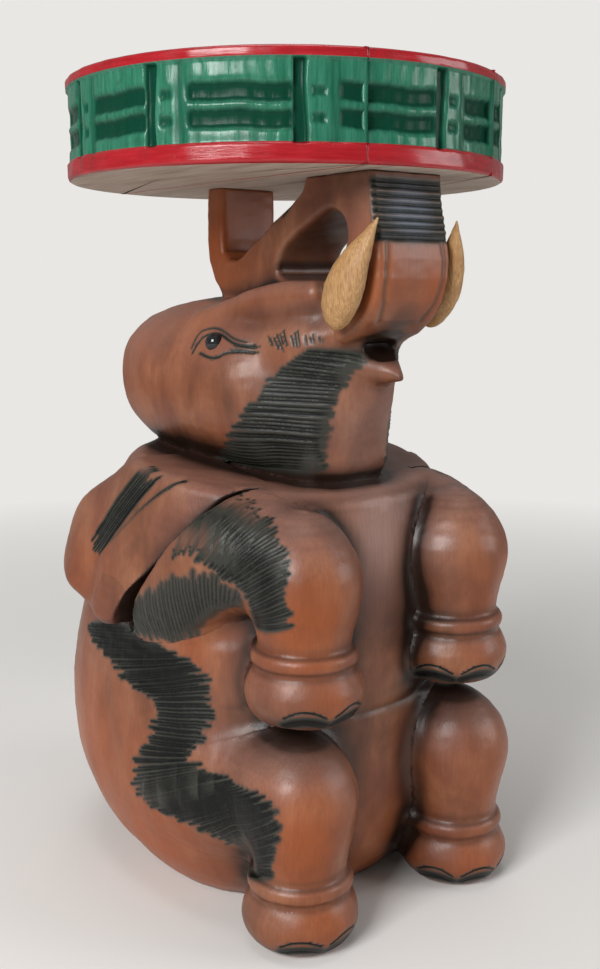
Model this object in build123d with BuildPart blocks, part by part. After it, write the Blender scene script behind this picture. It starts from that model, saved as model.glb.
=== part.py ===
"""Carved elephant stool: a seated elephant whose raised trunk carries a round seat.

The figure is glued up from carved blocks pinned with dowels, and the seat from three
edge-glued boards. Millimetres, +Z up. The elephant faces -Y and is the same on both sides
of the YZ plane, so its right side is -X. The origin is on the ground below the seat's axis.
"""

from build123d import *
from math import copysign, cos, pi, sin
import os

# ---- driving dimensions -------------------------------------------------------------------

# Seat: a disc with a painted, carved band round its edge between two proud rims
SEAT_DIAMETER = 280
SEAT_THICKNESS = 60.5
SEAT_SEAM_RIGHT = -47
SEAT_SEAM_LEFT = 56
RIM_TOP_HEIGHT = 6.4
RIM_BOTTOM_HEIGHT = 10.5
BAND_RECESS = 1.5
BAND_GROOVE_DEPTH = 3
BAND_GROOVE_HEIGHT = 8
BAND_STRIP_HEIGHT = 6
BAND_PANELS = 12
PANEL_GROOVE_WIDTH = 6
PANEL_TURN = 20.5

# Torso: a rump that sits flat on the ground and narrows to the neck
TORSO_HEIGHT = 298
TORSO_FRONT = 97
TORSO_BACK = 174
TORSO_WIDTH = 248
TORSO_SQUARENESS = 2.25

# Head: lying back on the neck with its chin forward
HEAD_HEIGHT = 116
HEAD_WIDTH = 146
HEAD_BACK = 142
HEAD_FRONT = 112
HEAD_SINK = 22
HEAD_SQUARENESS = 2.3
MUZZLE_WIDTH = 78

# Trunk: a flat carved loop from the muzzle up to the seat, over to the brow and up again
TRUNK_RISE = 69
TRUNK_WIDTH = 54
TRUNK_EDGE_RADIUS = 6
TRUNK_BEND_Y = -84
TRUNK_BEND_DEPTH = 58
TRUNK_TIP_Y = 51
TRUNK_TIP_DEPTH = 19

# Tusks, each with a round tenon glued into the cheek
TUSK_SPACING = 76
TUSK_WIDTH = 20
TUSK_THICKNESS = 12
TUSK_TENON_DIAMETER = 7
TUSK_TENON_LENGTH = 14

# Eyes: beads on a shank, set in sockets
EYE_DIAMETER = 12
EYE_PROUD = 2.5
EYE_SHANK_DIAMETER = 5
EYE_SHANK_LENGTH = 12
EYE_AXIS = (0.86, -0.1, 0.5)

# Ears: thick flaps that hug the shoulders
EAR_THICKNESS = 18
EAR_FRONT_Y = -60
EAR_BACK_Y = 124
EAR_HEIGHT = 110
EAR_TOP_SINK = 5
EAR_BACK_SPACING = 120

# Legs: a foot, an ankle bead and a round knee, with a thick thigh or upper arm behind
FRONT_LEG_SPACING = 126
REAR_LEG_SPACING = 134
LEG_REACH = 1
KNEE_RADIUS = 35
KNEE_CROWN = 40
FOOT_RADIUS = 36.5
SOLE_RADIUS = 27
FOOT_HEIGHT = 36
ANKLE_RADIUS = 29
ANKLE_BEAD_RADIUS = 4.6
FRONT_SOLE_HEIGHT = 141
FRONT_SHIN = 48
REAR_SHIN = 55
SHOULDER_RADIUS = 38
HIP_RADIUS = 52

# Dowels and glue joints
NECK_DOWEL_DIAMETER = 32
NECK_DOWEL_LENGTH = 80
TRUNK_DOWEL_DIAMETER = 16
TRUNK_DOWEL_LENGTH = 44
LEG_DOWEL_DIAMETER = 16
LEG_DOWEL_LENGTH = 70
EAR_DOWEL_DIAMETER = 8
EAR_DOWEL_LENGTH = 36
EAR_DOWEL_PITCH = 36
SEAT_DOWEL_DIAMETER = 14
SEAT_DOWEL_LENGTH = 34
BOARD_DOWEL_DIAMETER = 12
BOARD_DOWEL_LENGTH = 60
BOARD_DOWEL_PITCH = 84
GLUE_GAP = 0.1

# ---- worked-out places --------------------------------------------------------------------

SEAT_RADIUS = SEAT_DIAMETER / 2
HEAD_BOTTOM = TORSO_HEIGHT - HEAD_SINK
CROWN = HEAD_BOTTOM + HEAD_HEIGHT
SEAT_HEIGHT = CROWN + TRUNK_RISE
KNEE_AXIS_Y = -TORSO_FRONT - LEG_REACH
FRONT_KNEE_Z = FRONT_SOLE_HEIGHT + FOOT_HEIGHT + FRONT_SHIN
REAR_KNEE_Z = FOOT_HEIGHT + REAR_SHIN
FRONT_LEG_X = FRONT_LEG_SPACING / 2
REAR_LEG_X = REAR_LEG_SPACING / 2
EAR_TOP_Z = TORSO_HEIGHT - EAR_TOP_SINK
ALONG_X, ALONG_Y, ALONG_Z = (1, 0, 0), (0, 1, 0), (0, 0, 1)

# Sections up the torso: height, front, back and half width, as shares of its own sizes
TORSO_FORM = (
    (0.00, 0.69, 0.63, 0.70),
    (0.04, 0.81, 0.72, 0.79),
    (0.11, 0.91, 0.84, 0.90),
    (0.22, 0.98, 0.95, 0.98),
    (0.36, 1.00, 1.00, 1.00),
    (0.50, 1.00, 0.98, 0.97),
    (0.65, 1.00, 0.92, 0.90),
    (0.80, 1.00, 0.83, 0.84),
    (0.92, 0.96, 0.71, 0.77),
    (0.97, 0.87, 0.62, 0.69),
    (1.00, 0.70, 0.50, 0.54),
)

# Sections along the skull, from its back to the chin: place, half width, underside and top
HEAD_FORM = (
    (1.00, 0.18, 0.44, 0.60),
    (0.985, 0.42, 0.32, 0.72),
    (0.94, 0.68, 0.18, 0.84),
    (0.83, 0.86, 0.10, 0.92),
    (0.63, 0.97, 0.03, 0.97),
    (0.37, 1.00, 0.01, 0.98),
    (0.10, 0.98, 0.00, 0.97),
    (-0.18, 0.90, 0.01, 0.93),
    (-0.40, 0.65, 0.05, 0.90),
    (-0.64, 0.41, 0.19, 0.84),
    (-0.80, 0.29, 0.36, 0.79),
    (-0.93, 0.17, 0.50, 0.73),
    (-1.00, 0.08, 0.58, 0.67),
)

# Sections along the muzzle, from inside the skull to the trunk's root: place along the head,
# height, half width, half depth and the rise of its axis for one of run
MUZZLE_FORM = (
    (-0.10, 0.64, 1.20, 0.32, 0.2),
    (-0.42, 0.71, 1.16, 0.28, 0.3),
    (-0.72, 0.82, 0.94, 0.20, 0.7),
    (-0.90, 0.98, 0.90, 0.21, 1.8),
    (-0.93, 1.14, 0.88, 0.25, 8.0),
    (-0.93, 1.28, 0.82, 0.24, 20.0),
    (-0.92, 1.44, 0.62, 0.16, 20.0),
)

# Sections along a tusk, from its root to its point: place and height on the head, and size
TUSK_FORM = (
    (-0.82, 0.86, 0.40, 1.0),
    (-0.90, 0.94, 0.85, 1.3),
    (-0.99, 1.05, 1.00, 1.6),
    (-1.07, 1.18, 0.78, 2.2),
    (-1.12, 1.30, 0.42, 3.5),
    (-1.13, 1.36, 0.16, 6.0),
)


# Place of an eye on the head, as shares of its half width, front and height
EYE_PLACE = (0.84, -0.11, 0.73)

# Outline of a foot between sole and ankle: radius and height, as shares of the foot's own
FOOT_FORM = ((0.95, 0.28), (1.00, 0.55))

# Outline of a knee above its widest place: radius and height, as shares of its own
KNEE_FORM = (0.72, 0.69)

# Sections along an upper arm and a thigh, back from the knee: out, back and up from it, the
# rise of the axis for one of run, and radius, as shares of the shoulder's or hip's radius
UPPER_ARM_FORM = (
    (0.00, 0.00, -0.10, -3.30, 0.80),
    (0.09, 0.36, 0.27, -0.50, 0.93),
    (0.24, 0.87, 0.38, 0.00, 0.97),
    (0.42, 1.68, 0.10, 0.50, 1.00),
    (0.45, 2.53, -0.48, 0.60, 0.98),
    (0.37, 3.16, -0.84, 0.60, 0.80),
)
THIGH_FORM = (
    (0.00, 0.00, -0.04, 0.00, 0.61),
    (0.02, 0.65, -0.08, 0.10, 0.75),
    (0.00, 1.62, -0.23, 0.10, 1.00),
    (-0.31, 2.50, -0.31, 0.10, 0.88),
)

# Side outline of an ear below and behind: place from its front to its back, height above its tip
EAR_FORM = (
    (0.39, 0.06), (0.50, 0.00), (0.82, 0.08), (0.98, 0.26), (1.00, 0.44), (0.86, 0.80), (0.54, 1.00),
)

# Side outlines of the trunk: distance along the elephant from the bend's front or back or from
# the tip's, and height as a share of the trunk's rise
BEND_FRONT_FORM = ((29, -0.45), (7, -0.24), (-8, 0.19), (-10, 0.42), (-6, 0.70), (0, 1.00))
BEND_BACK_FORM = ((0, 1.00), (19, 0.80), (51, 0.54))
TIP_FRONT_FORM = ((-23, 0.36), (-7, 0.33), (0, 0.55))
TIP_BACK_FORM = ((0, 1.00), (1, 0.52), (-7, 0.10), (-23, -0.15))
LEAF_FORM = (
    (-33, 0.62), (-8, 0.64), (14, 0.50), (31, 0.20), (13, 0.10), (-5, 0.07), (-25, 0.24), (-36, 0.45),
)


def oval(half_width, half_depth, squareness):
    """Points round an oval |x/a|^n + |y/b|^n = 1; n = 2 is an ellipse, more is squarer."""
    corners = 16
    points = []
    for step in range(corners):
        across, along = cos(2 * pi * step / corners), sin(2 * pi * step / corners)
        points.append(
            (
                copysign(abs(across) ** (2 / squareness), across) * half_width,
                copysign(abs(along) ** (2 / squareness), along) * half_depth,
            )
        )
    return points


def torso_form(skin):
    """The torso's closed form, thickened by skin all round its sides."""
    with BuildPart() as form:
        for height, front, back, width in TORSO_FORM:
            near, far = -front * TORSO_FRONT - skin, back * TORSO_BACK + skin
            half_width, half_depth = width * TORSO_WIDTH / 2 + skin, (far - near) / 2
            with BuildSketch(Plane((0, (near + far) / 2, height * TORSO_HEIGHT))):
                with BuildLine():
                    Spline(*oval(half_width, half_depth, TORSO_SQUARENESS), periodic=True)
                make_face()
        loft()
        split(bisect_by=Plane.YZ)
        mirror(about=Plane.YZ)
    return form.part


def flank(y, row):
    """How far the torso's side stands from the middle plane at y, on one of its sections."""
    _, front, back, width = row
    near, far = -front * TORSO_FRONT, back * TORSO_BACK
    from_middle = abs(2 * y - near - far) / (far - near)
    return width * TORSO_WIDTH / 2 * (1 - from_middle**TORSO_SQUARENESS) ** (1 / TORSO_SQUARENESS)


def skull_form():
    """The skull and chin, lofted from the back of the skull to the lower lip."""
    with BuildPart() as form:
        for place, width, low, high in HEAD_FORM:
            y = place * (HEAD_BACK if place > 0 else HEAD_FRONT)
            middle = HEAD_BOTTOM + (low + high) / 2 * HEAD_HEIGHT
            half_width, half_height = width * HEAD_WIDTH / 2, (high - low) / 2 * HEAD_HEIGHT
            with BuildSketch(Plane((0, y, middle), x_dir=(1, 0, 0), z_dir=(0, -1, 0))):
                with BuildLine():
                    Spline(*oval(half_width, half_height, HEAD_SQUARENESS), periodic=True)
                make_face()
        loft()
    return form.part


def muzzle_form():
    """The cheeks and upper jaw, rising from the skull into the root of the trunk."""
    with BuildPart() as form:
        for place, height, width, depth, rise in MUZZLE_FORM:
            centre = (0, place * HEAD_FRONT, HEAD_BOTTOM + height * HEAD_HEIGHT)
            with BuildSketch(Plane(centre, x_dir=(1, 0, 0), z_dir=(0, -1, rise))):
                Ellipse(width * MUZZLE_WIDTH / 2, depth * HEAD_HEIGHT)
        loft()
    return form.part


def tusk_form():
    """The left tusk, a leaf that curves up from the cheek, with its tenon."""
    with BuildPart() as form:
        for place, height, size, rise in TUSK_FORM:
            centre = (
                TUSK_SPACING / 2, place * HEAD_FRONT, HEAD_BOTTOM + height * HEAD_HEIGHT,
            )
            with BuildSketch(Plane(centre, x_dir=(1, 0, 0), z_dir=(0, -1, rise))):
                Ellipse(size * TUSK_THICKNESS / 2, size * TUSK_WIDTH / 2)
        loft()
        add(dowel(TUSK_TENON_CENTRE, TUSK_AXIS, TUSK_TENON_DIAMETER, TUSK_TENON_LENGTH))
    return form.part


def limb(x, knee_z, rows, size):
    """A round limb lofted back from a knee through the rows of its form, times size."""
    with BuildPart() as form:
        for out, back, up, rise, girth in rows:
            centre = (x + out * size, KNEE_AXIS_Y + back * size, knee_z + up * size)
            with BuildSketch(Plane(centre, x_dir=ALONG_X, z_dir=(0, -1, rise))):
                Circle(girth * size)
        loft()
    return form.part


def leg(x, sole_z, knee_z, upper_limb):
    """A left leg before it is cut to the torso: foot, ankle bead, shin, knee and upper limb."""
    knee = knee_z - sole_z
    with BuildPart() as form:
        axis_plane = Plane((x, KNEE_AXIS_Y, sole_z), x_dir=(1, 0, 0), z_dir=(0, -1, 0))
        with BuildSketch(axis_plane):
            with BuildLine():
                Line((0, 0), (SOLE_RADIUS, 0))
                Spline(
                    (SOLE_RADIUS, 0),
                    *[(out * FOOT_RADIUS, up * FOOT_HEIGHT) for out, up in FOOT_FORM],
                    (ANKLE_RADIUS, FOOT_HEIGHT),
                )
                Spline(
                    (ANKLE_RADIUS, FOOT_HEIGHT),
                    (ANKLE_RADIUS + 1, FOOT_HEIGHT + 2.5 * ANKLE_BEAD_RADIUS),
                    (KNEE_RADIUS, knee),
                    tangents=((0, 1), (0, 1)),
                )
                Spline(
                    (KNEE_RADIUS, knee),
                    (KNEE_FORM[0] * KNEE_RADIUS, knee + KNEE_FORM[1] * KNEE_CROWN),
                    (0, knee + KNEE_CROWN),
                    tangents=((0, 1), (-1, 0)),
                )
                Line((0, knee + KNEE_CROWN), (0, 0))
            make_face()
        with BuildSketch(axis_plane):
            with Locations((ANKLE_RADIUS, FOOT_HEIGHT + ANKLE_BEAD_RADIUS / 2)):
                Circle(ANKLE_BEAD_RADIUS)
        revolve(axis=Axis((x, KNEE_AXIS_Y, 0), ALONG_Z))
        add(upper_limb)
    return form.part


def dowel(centre, direction, diameter, length):
    """A plain cylinder along direction, centred on centre."""
    return Plane(centre, z_dir=direction) * Cylinder(diameter / 2, length, mode=Mode.PRIVATE)


def bore(centre, direction, diameter, length):
    """Cut the open part for a dowel, with the glue gap round its side."""
    add(dowel(centre, direction, diameter + 2 * GLUE_GAP, length), mode=Mode.SUBTRACT)


def mirrored(part):
    """The same piece for the right side."""
    return part.mirror(Plane.YZ)


def finish(part, name):
    """Label a finished piece and write its file."""
    part.label = name
    export_step(part, f"parts/{name}.step")


def finish_pins(pins, name):
    """Write the dowels of one kind as one piece of separate solids."""
    with BuildPart() as group:
        for pin in pins:
            add(dowel(*pin))
    finish(group.part, name)


def finish_pair(part, name):
    """Write a left piece and its mirror image."""
    finish(part, f"left_{name}")
    finish(mirrored(part), f"right_{name}")


os.makedirs("parts", exist_ok=True)

# ---- dowel and socket places --------------------------------------------------------------

TUSK_AXIS = (0, -TUSK_FORM[0][3] * 0.9, 1)
TUSK_TENON_CENTRE = (
    TUSK_SPACING / 2,
    TUSK_FORM[0][0] * HEAD_FRONT + TUSK_TENON_LENGTH * 0.25,
    HEAD_BOTTOM + TUSK_FORM[0][1] * HEAD_HEIGHT - TUSK_TENON_LENGTH * 0.25,
)
NECK_PIN = ((0, 20, TORSO_HEIGHT), ALONG_Z, NECK_DOWEL_DIAMETER, NECK_DOWEL_LENGTH)
TRUNK_PIN = ((0, 0, CROWN), ALONG_Z, TRUNK_DOWEL_DIAMETER, TRUNK_DOWEL_LENGTH)
SEAT_PINS = [
    ((0, y, SEAT_HEIGHT), ALONG_Z, SEAT_DOWEL_DIAMETER, SEAT_DOWEL_LENGTH)
    for y in (TRUNK_BEND_Y, TRUNK_TIP_Y)
]
BOARD_PINS = [
    ((seam, row * BOARD_DOWEL_PITCH, SEAT_HEIGHT + SEAT_THICKNESS / 2),
     ALONG_X, BOARD_DOWEL_DIAMETER, BOARD_DOWEL_LENGTH)
    for seam in (SEAT_SEAM_RIGHT, SEAT_SEAM_LEFT)
    for row in (-1, 0, 1)
]
FRONT_LEG_PINS, REAR_LEG_PINS = (
    [
        ((side * x, KNEE_AXIS_Y + LEG_DOWEL_LENGTH * 0.4, z),
         ALONG_Y, LEG_DOWEL_DIAMETER, LEG_DOWEL_LENGTH)
        for side in (-1, 1)
    ]
    for x, z in ((FRONT_LEG_X, FRONT_KNEE_Z), (REAR_LEG_X, REAR_KNEE_Z))
)
EAR_MIDDLE_Y = (EAR_FRONT_Y + EAR_BACK_Y) / 2
EAR_PIN_ROW = TORSO_FORM[7]  # level with the middle of the ears
EAR_PINS = [
    ((side * (flank(y, EAR_PIN_ROW) + (EAR_THICKNESS - EAR_DOWEL_LENGTH) / 2), y,
      EAR_PIN_ROW[0] * TORSO_HEIGHT),
     ALONG_X, EAR_DOWEL_DIAMETER, EAR_DOWEL_LENGTH)
    for side in (-1, 1)
    for y in (EAR_MIDDLE_Y, EAR_MIDDLE_Y + EAR_DOWEL_PITCH)
]

# ---- raw blocks ---------------------------------------------------------------------------

torso_block = torso_form(0)
skull_block = skull_form()
muzzle_block = muzzle_form()

upper_arm = limb(FRONT_LEG_X, FRONT_KNEE_Z, UPPER_ARM_FORM, SHOULDER_RADIUS)
thigh = limb(REAR_LEG_X, REAR_KNEE_Z, THIGH_FORM, HIP_RADIUS)
front_leg_block = leg(FRONT_LEG_X, FRONT_SOLE_HEIGHT, FRONT_KNEE_Z, upper_arm)
rear_leg_block = leg(REAR_LEG_X, 0, REAR_KNEE_Z, thigh)
tusk = tusk_form()

# ---- eyes ---------------------------------------------------------------------------------

EYE_CENTRE = Vector(
    HEAD_WIDTH / 2 * EYE_PLACE[0] - EYE_DIAMETER / 2 + EYE_PROUD,
    HEAD_FRONT * EYE_PLACE[1],
    HEAD_BOTTOM + HEAD_HEIGHT * EYE_PLACE[2],
)
with BuildPart() as eye:
    with Locations(EYE_CENTRE):
        Sphere(EYE_DIAMETER / 2)
    shank_centre = EYE_CENTRE - Vector(*EYE_AXIS) * EYE_SHANK_LENGTH / 2
    add(dowel(shank_centre, EYE_AXIS, EYE_SHANK_DIAMETER, EYE_SHANK_LENGTH))
finish_pair(eye.part, "eye")

# ---- torso --------------------------------------------------------------------------------

with BuildPart() as torso:
    add(torso_block)
    for pin in [NECK_PIN, *FRONT_LEG_PINS, *REAR_LEG_PINS, *EAR_PINS]:
        bore(*pin)
finish(torso.part, "torso")

# ---- head ---------------------------------------------------------------------------------

with BuildPart() as head:
    add(skull_block)
    add(muzzle_block)
    add(torso_block, mode=Mode.SUBTRACT)
    for fitted in (tusk, eye.part):
        add(fitted, mode=Mode.SUBTRACT)
        add(mirrored(fitted), mode=Mode.SUBTRACT)
    bore(*NECK_PIN)
    bore(*TRUNK_PIN)
finish(head.part, "head")

# ---- trunk --------------------------------------------------------------------------------

BEND_FRONT_Y = TRUNK_BEND_Y - TRUNK_BEND_DEPTH / 2
BEND_BACK_Y = TRUNK_BEND_Y + TRUNK_BEND_DEPTH / 2
TIP_FRONT_Y = TRUNK_TIP_Y - TRUNK_TIP_DEPTH / 2
TIP_BACK_Y = TRUNK_TIP_Y + TRUNK_TIP_DEPTH / 2


def on_trunk(start_y, outline):
    """Points of an outline on the elephant's middle plane, from start_y."""
    return [(start_y + y, CROWN + share * TRUNK_RISE) for y, share in outline]


bend_front = on_trunk(BEND_FRONT_Y, BEND_FRONT_FORM)
slot_edge = on_trunk(BEND_BACK_Y, BEND_BACK_FORM) + on_trunk(TIP_FRONT_Y, TIP_FRONT_FORM)
tip_back = on_trunk(TIP_BACK_Y, TIP_BACK_FORM)


with BuildPart() as trunk:
    with BuildSketch(Plane.YZ):
        with BuildLine():
            Spline(*bend_front)
            Line(bend_front[-1], slot_edge[0])
            Spline(*slot_edge)
            Polyline(slot_edge[-1], (TIP_FRONT_Y, SEAT_HEIGHT), tip_back[0])
            Spline(*tip_back)
            Line(tip_back[-1], bend_front[0])
        make_face()
        with BuildLine():
            Spline(*on_trunk(BEND_BACK_Y, LEAF_FORM), periodic=True)
        make_face(mode=Mode.SUBTRACT)
    extrude(amount=TRUNK_WIDTH / 2, both=True)
    fillet(trunk.faces().filter_by(Axis.X).edges(), TRUNK_EDGE_RADIUS)
    add(skull_block, mode=Mode.SUBTRACT)
    add(muzzle_block, mode=Mode.SUBTRACT)
    add(tusk, mode=Mode.SUBTRACT)
    add(mirrored(tusk), mode=Mode.SUBTRACT)
    bore(*TRUNK_PIN)
    for pin in SEAT_PINS:
        bore(*pin)
finish(trunk.part, "trunk")
finish_pair(tusk, "tusk")

# ---- legs ---------------------------------------------------------------------------------

for block, pins, name in (
    (front_leg_block, FRONT_LEG_PINS, "front_leg"),
    (rear_leg_block, REAR_LEG_PINS, "rear_leg"),
):
    with BuildPart() as one_leg:
        add(block)
        add(torso_block, mode=Mode.SUBTRACT)
        for pin in pins:
            bore(*pin)
    finish_pair(one_leg.part, name)

# ---- ears ---------------------------------------------------------------------------------

ear_edge = [
    (EAR_FRONT_Y + along * (EAR_BACK_Y - EAR_FRONT_Y), EAR_TOP_Z + (up - 1) * EAR_HEIGHT)
    for along, up in EAR_FORM
]
with BuildPart() as ear:
    with BuildSketch(Plane.YZ.offset(EAR_BACK_SPACING / 2)):
        with BuildLine():
            Spline(*ear_edge)
            Polyline(ear_edge[-1], (EAR_FRONT_Y, EAR_TOP_Z), ear_edge[0])
        make_face()
    extrude(amount=TORSO_WIDTH / 2)
    add(torso_form(EAR_THICKNESS), mode=Mode.INTERSECT)
    for neighbour in (torso_block, skull_block, front_leg_block):
        add(neighbour, mode=Mode.SUBTRACT)
    for pin in EAR_PINS:
        bore(*pin)
finish_pair(ear.part, "ear")

# ---- seat ---------------------------------------------------------------------------------

RIM_TOP_Z = SEAT_THICKNESS - RIM_TOP_HEIGHT
BAND_RADIUS = SEAT_RADIUS - BAND_RECESS
BAND_MIDDLE = (RIM_BOTTOM_HEIGHT + RIM_TOP_Z) / 2
GROOVE_OFFSET = (BAND_STRIP_HEIGHT + BAND_GROOVE_HEIGHT) / 2
with BuildPart() as seat_disc:
    with BuildSketch(Plane.XY.offset(SEAT_HEIGHT)):
        Circle(SEAT_RADIUS)
    extrude(amount=SEAT_THICKNESS)
    with BuildSketch(Plane.XZ):
        for middle, height, depth in (
            (BAND_MIDDLE, RIM_TOP_Z - RIM_BOTTOM_HEIGHT, BAND_RECESS),
            (BAND_MIDDLE - GROOVE_OFFSET, BAND_GROOVE_HEIGHT, BAND_RECESS + BAND_GROOVE_DEPTH),
            (BAND_MIDDLE + GROOVE_OFFSET, BAND_GROOVE_HEIGHT, BAND_RECESS + BAND_GROOVE_DEPTH),
        ):
            with Locations((SEAT_RADIUS, SEAT_HEIGHT + middle)):
                Rectangle(2 * depth, height)
    revolve(axis=Axis.Z, mode=Mode.SUBTRACT)
    with Locations((0, 0, SEAT_HEIGHT + BAND_MIDDLE)):
        with PolarLocations(BAND_RADIUS, BAND_PANELS, start_angle=PANEL_TURN):
            Box(
                2 * BAND_GROOVE_DEPTH, PANEL_GROOVE_WIDTH, RIM_TOP_Z - RIM_BOTTOM_HEIGHT,
                mode=Mode.SUBTRACT,
            )

BOARD_EDGES = (-SEAT_RADIUS, SEAT_SEAM_RIGHT, SEAT_SEAM_LEFT, SEAT_RADIUS)
for name, low, high in zip(("right", "middle", "left"), BOARD_EDGES, BOARD_EDGES[1:]):
    with BuildPart() as board:
        add(seat_disc.part)
        with Locations(((low + high) / 2, 0, SEAT_HEIGHT + SEAT_THICKNESS / 2)):
            Box(high - low, SEAT_DIAMETER, SEAT_THICKNESS, mode=Mode.INTERSECT)
        for pin in SEAT_PINS + BOARD_PINS:
            bore(*pin)
    finish(board.part, f"seat_board_{name}")

# ---- dowels -------------------------------------------------------------------------------

for pins, name in (
    ([NECK_PIN], "neck_dowel"),
    ([TRUNK_PIN], "trunk_dowel"),
    (FRONT_LEG_PINS, "front_leg_dowels"),
    (REAR_LEG_PINS, "rear_leg_dowels"),
    (EAR_PINS, "ear_dowels"),
    (SEAT_PINS, "seat_dowels"),
    (BOARD_PINS, "seat_board_dowels"),
):
    finish_pins(pins, name)
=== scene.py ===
"""Carved elephant stool: the carved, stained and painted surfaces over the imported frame.

Sizes are millimetres, and meshes are written in metres. Points are rows of x, y and z. The
elephant faces -Y, +Z is up, and the carving is the same on both sides of x = 0. What comes
in pairs is worked out on the left side, where x > 0, and mirrored to the right.
"""

from __future__ import annotations

import logging
from dataclasses import dataclass, field
from enum import Enum
from functools import cached_property
from typing import Callable, Sequence

import bpy
import numpy as np
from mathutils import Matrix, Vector

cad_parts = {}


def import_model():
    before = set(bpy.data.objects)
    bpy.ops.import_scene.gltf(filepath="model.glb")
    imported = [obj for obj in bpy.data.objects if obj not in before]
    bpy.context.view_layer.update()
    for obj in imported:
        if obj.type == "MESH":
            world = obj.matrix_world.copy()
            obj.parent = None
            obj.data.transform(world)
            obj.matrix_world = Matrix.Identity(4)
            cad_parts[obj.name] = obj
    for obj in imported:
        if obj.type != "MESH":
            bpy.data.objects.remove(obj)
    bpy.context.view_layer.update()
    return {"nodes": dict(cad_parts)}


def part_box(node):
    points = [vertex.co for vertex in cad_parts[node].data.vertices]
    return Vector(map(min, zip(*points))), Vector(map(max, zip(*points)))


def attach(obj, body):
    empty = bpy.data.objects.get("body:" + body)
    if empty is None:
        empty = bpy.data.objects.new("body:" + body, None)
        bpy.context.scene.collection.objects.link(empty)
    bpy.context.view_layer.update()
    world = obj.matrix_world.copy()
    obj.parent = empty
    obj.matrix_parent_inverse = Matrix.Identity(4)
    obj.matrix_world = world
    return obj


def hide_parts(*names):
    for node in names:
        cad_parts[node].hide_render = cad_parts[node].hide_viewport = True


Array = np.ndarray
Place = tuple[float, float, float]
Stations = Sequence[Sequence[float]]
Socket = bpy.types.NodeSocket
Tree = bpy.types.NodeTree
Material = bpy.types.Material
LOG = logging.getLogger("elephant_stool")
MILLIMETRE = 0.001
TINY = 1e-9


# ---- distances and curves -----------------------------------------------------------------


def smooth_min(first: Array, second: Array, reach: float) -> Array:
    """Blend two distances: the smaller one, less reach h (1 - h) where they are close.

    Args:
        first: distances to one form.
        second: distances to the other form.
        reach: how near to each other the two distances are where the blend starts.

    Returns:
        The blended distances.
    """
    share = np.clip(0.5 + 0.5 * (second - first) / reach, 0.0, 1.0)
    return second + (first - second) * share - reach * share * (1.0 - share)


def smooth_max(first: Array, second: Array, reach: float) -> Array:
    """Blend two distances by the larger one, as smooth_min does by the smaller."""
    return -smooth_min(-first, -second, reach)


def smooth_step(value: Array, start: float, end: float) -> Array:
    """Rise from 0 at start to 1 at end as 3 t^2 - 2 t^3."""
    share = np.clip((value - start) / (end - start), 0.0, 1.0)
    return share * share * (3.0 - 2.0 * share)


def curve_through(stations: Stations, spans: int, closed: bool = False) -> Array:
    """Carry a Catmull-Rom curve through stations, in any number of dimensions.

    Args:
        stations: the points that it passes through, in order.
        spans: the number of steps from one station to the next.
        closed: whether it comes back to the first station.

    Returns:
        The points along the curve, one row each.
    """
    nodes = np.asarray(stations, dtype=float)
    if closed:
        padded = np.vstack([nodes[-1:], nodes, nodes[:2]])
    else:
        padded = np.vstack([nodes[:1], nodes, nodes[-1:]])
    count = len(padded) - 3
    before, start, end, after = (padded[i:i + count, None] for i in range(4))
    step = np.linspace(0.0, 1.0, spans, endpoint=False)[None, :, None]
    points = 0.5 * (
        2 * start
        + (end - before) * step
        + (2 * before - 5 * start + 4 * end - after) * step**2
        + (3 * start - before - 3 * end + after) * step**3
    )
    flat = points.reshape(-1, nodes.shape[1])
    return flat if closed else np.vstack([flat, nodes[-1:]])


def folded(points: Array) -> Array:
    """Points with the right side laid over the left, as |x|, y, z."""
    return np.column_stack([np.abs(points[:, 0]), points[:, 1], points[:, 2]])


def within(points: Array, low: Sequence[float], high: Sequence[float]) -> Array:
    """Tell which points lie between two corners."""
    return ((points > low) & (points < high)).all(axis=1)


def beside(points: Array, start: Array, end: Array) -> tuple[Array, Array]:
    """Find the nearest place on a segment, by the offset's shadow on it.

    Args:
        points: where to look from, in two or three dimensions.
        start: the segment's first end.
        end: its last end.

    Returns:
        How far along the nearest place is, from 0 to 1, and the offset from it.
    """
    offset, run = points - start, end - start
    share = np.clip(offset @ run / max(run @ run, TINY), 0.0, 1.0)
    return share, offset - share[:, None] * run


def outline_distance(outline: Array, across: Array, up: Array) -> Array:
    """Signed distance to a closed polygon in a plane, negative inside.

    The size is the least distance to an edge, and the sign changes with each edge that a
    level ray from the point crosses.

    Args:
        outline: the polygon's corners.
        across: first coordinate of the points.
        up: second coordinate of the points.

    Returns:
        One distance for each point.
    """
    best, inside = np.full(len(across), np.inf), np.zeros(len(across), dtype=bool)
    for (a, b), (c, d) in zip(outline, np.roll(outline, -1, axis=0)):
        run, rise = c - a, d - b
        shadow = ((across - a) * run + (up - b) * rise) / max(run**2 + rise**2, TINY)
        share = np.clip(shadow, 0.0, 1.0)
        best = np.minimum(best, (across - a - share * run) ** 2 + (up - b - share * rise) ** 2)
        if rise:
            beyond = across < a + (up - b) / rise * run
            inside ^= ((up >= b) != (up >= d)) & beyond
    return np.where(inside, -1.0, 1.0) * np.sqrt(best)


def oval_distance(scaled: Array, radii: Array, power: float) -> Array:
    """Distance to an oval: (k - 1) / |grad k|, where k is the n-norm of the scaled place.

    Args:
        scaled: sizes of the coordinates over their radii.
        radii: the oval's radii, in one row for all points or in one for each.
        power: n, which is 2 for an ellipse and more for a squarer oval.

    Returns:
        One distance for each point.
    """
    norm = (scaled**power).sum(axis=1) ** (1 / power)
    slope = np.sqrt(((scaled ** (power - 1) / radii) ** 2).sum(axis=1))
    return (norm - 1.0) / (slope * norm ** (1 - power) + TINY)


# ---- carved forms -------------------------------------------------------------------------


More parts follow.
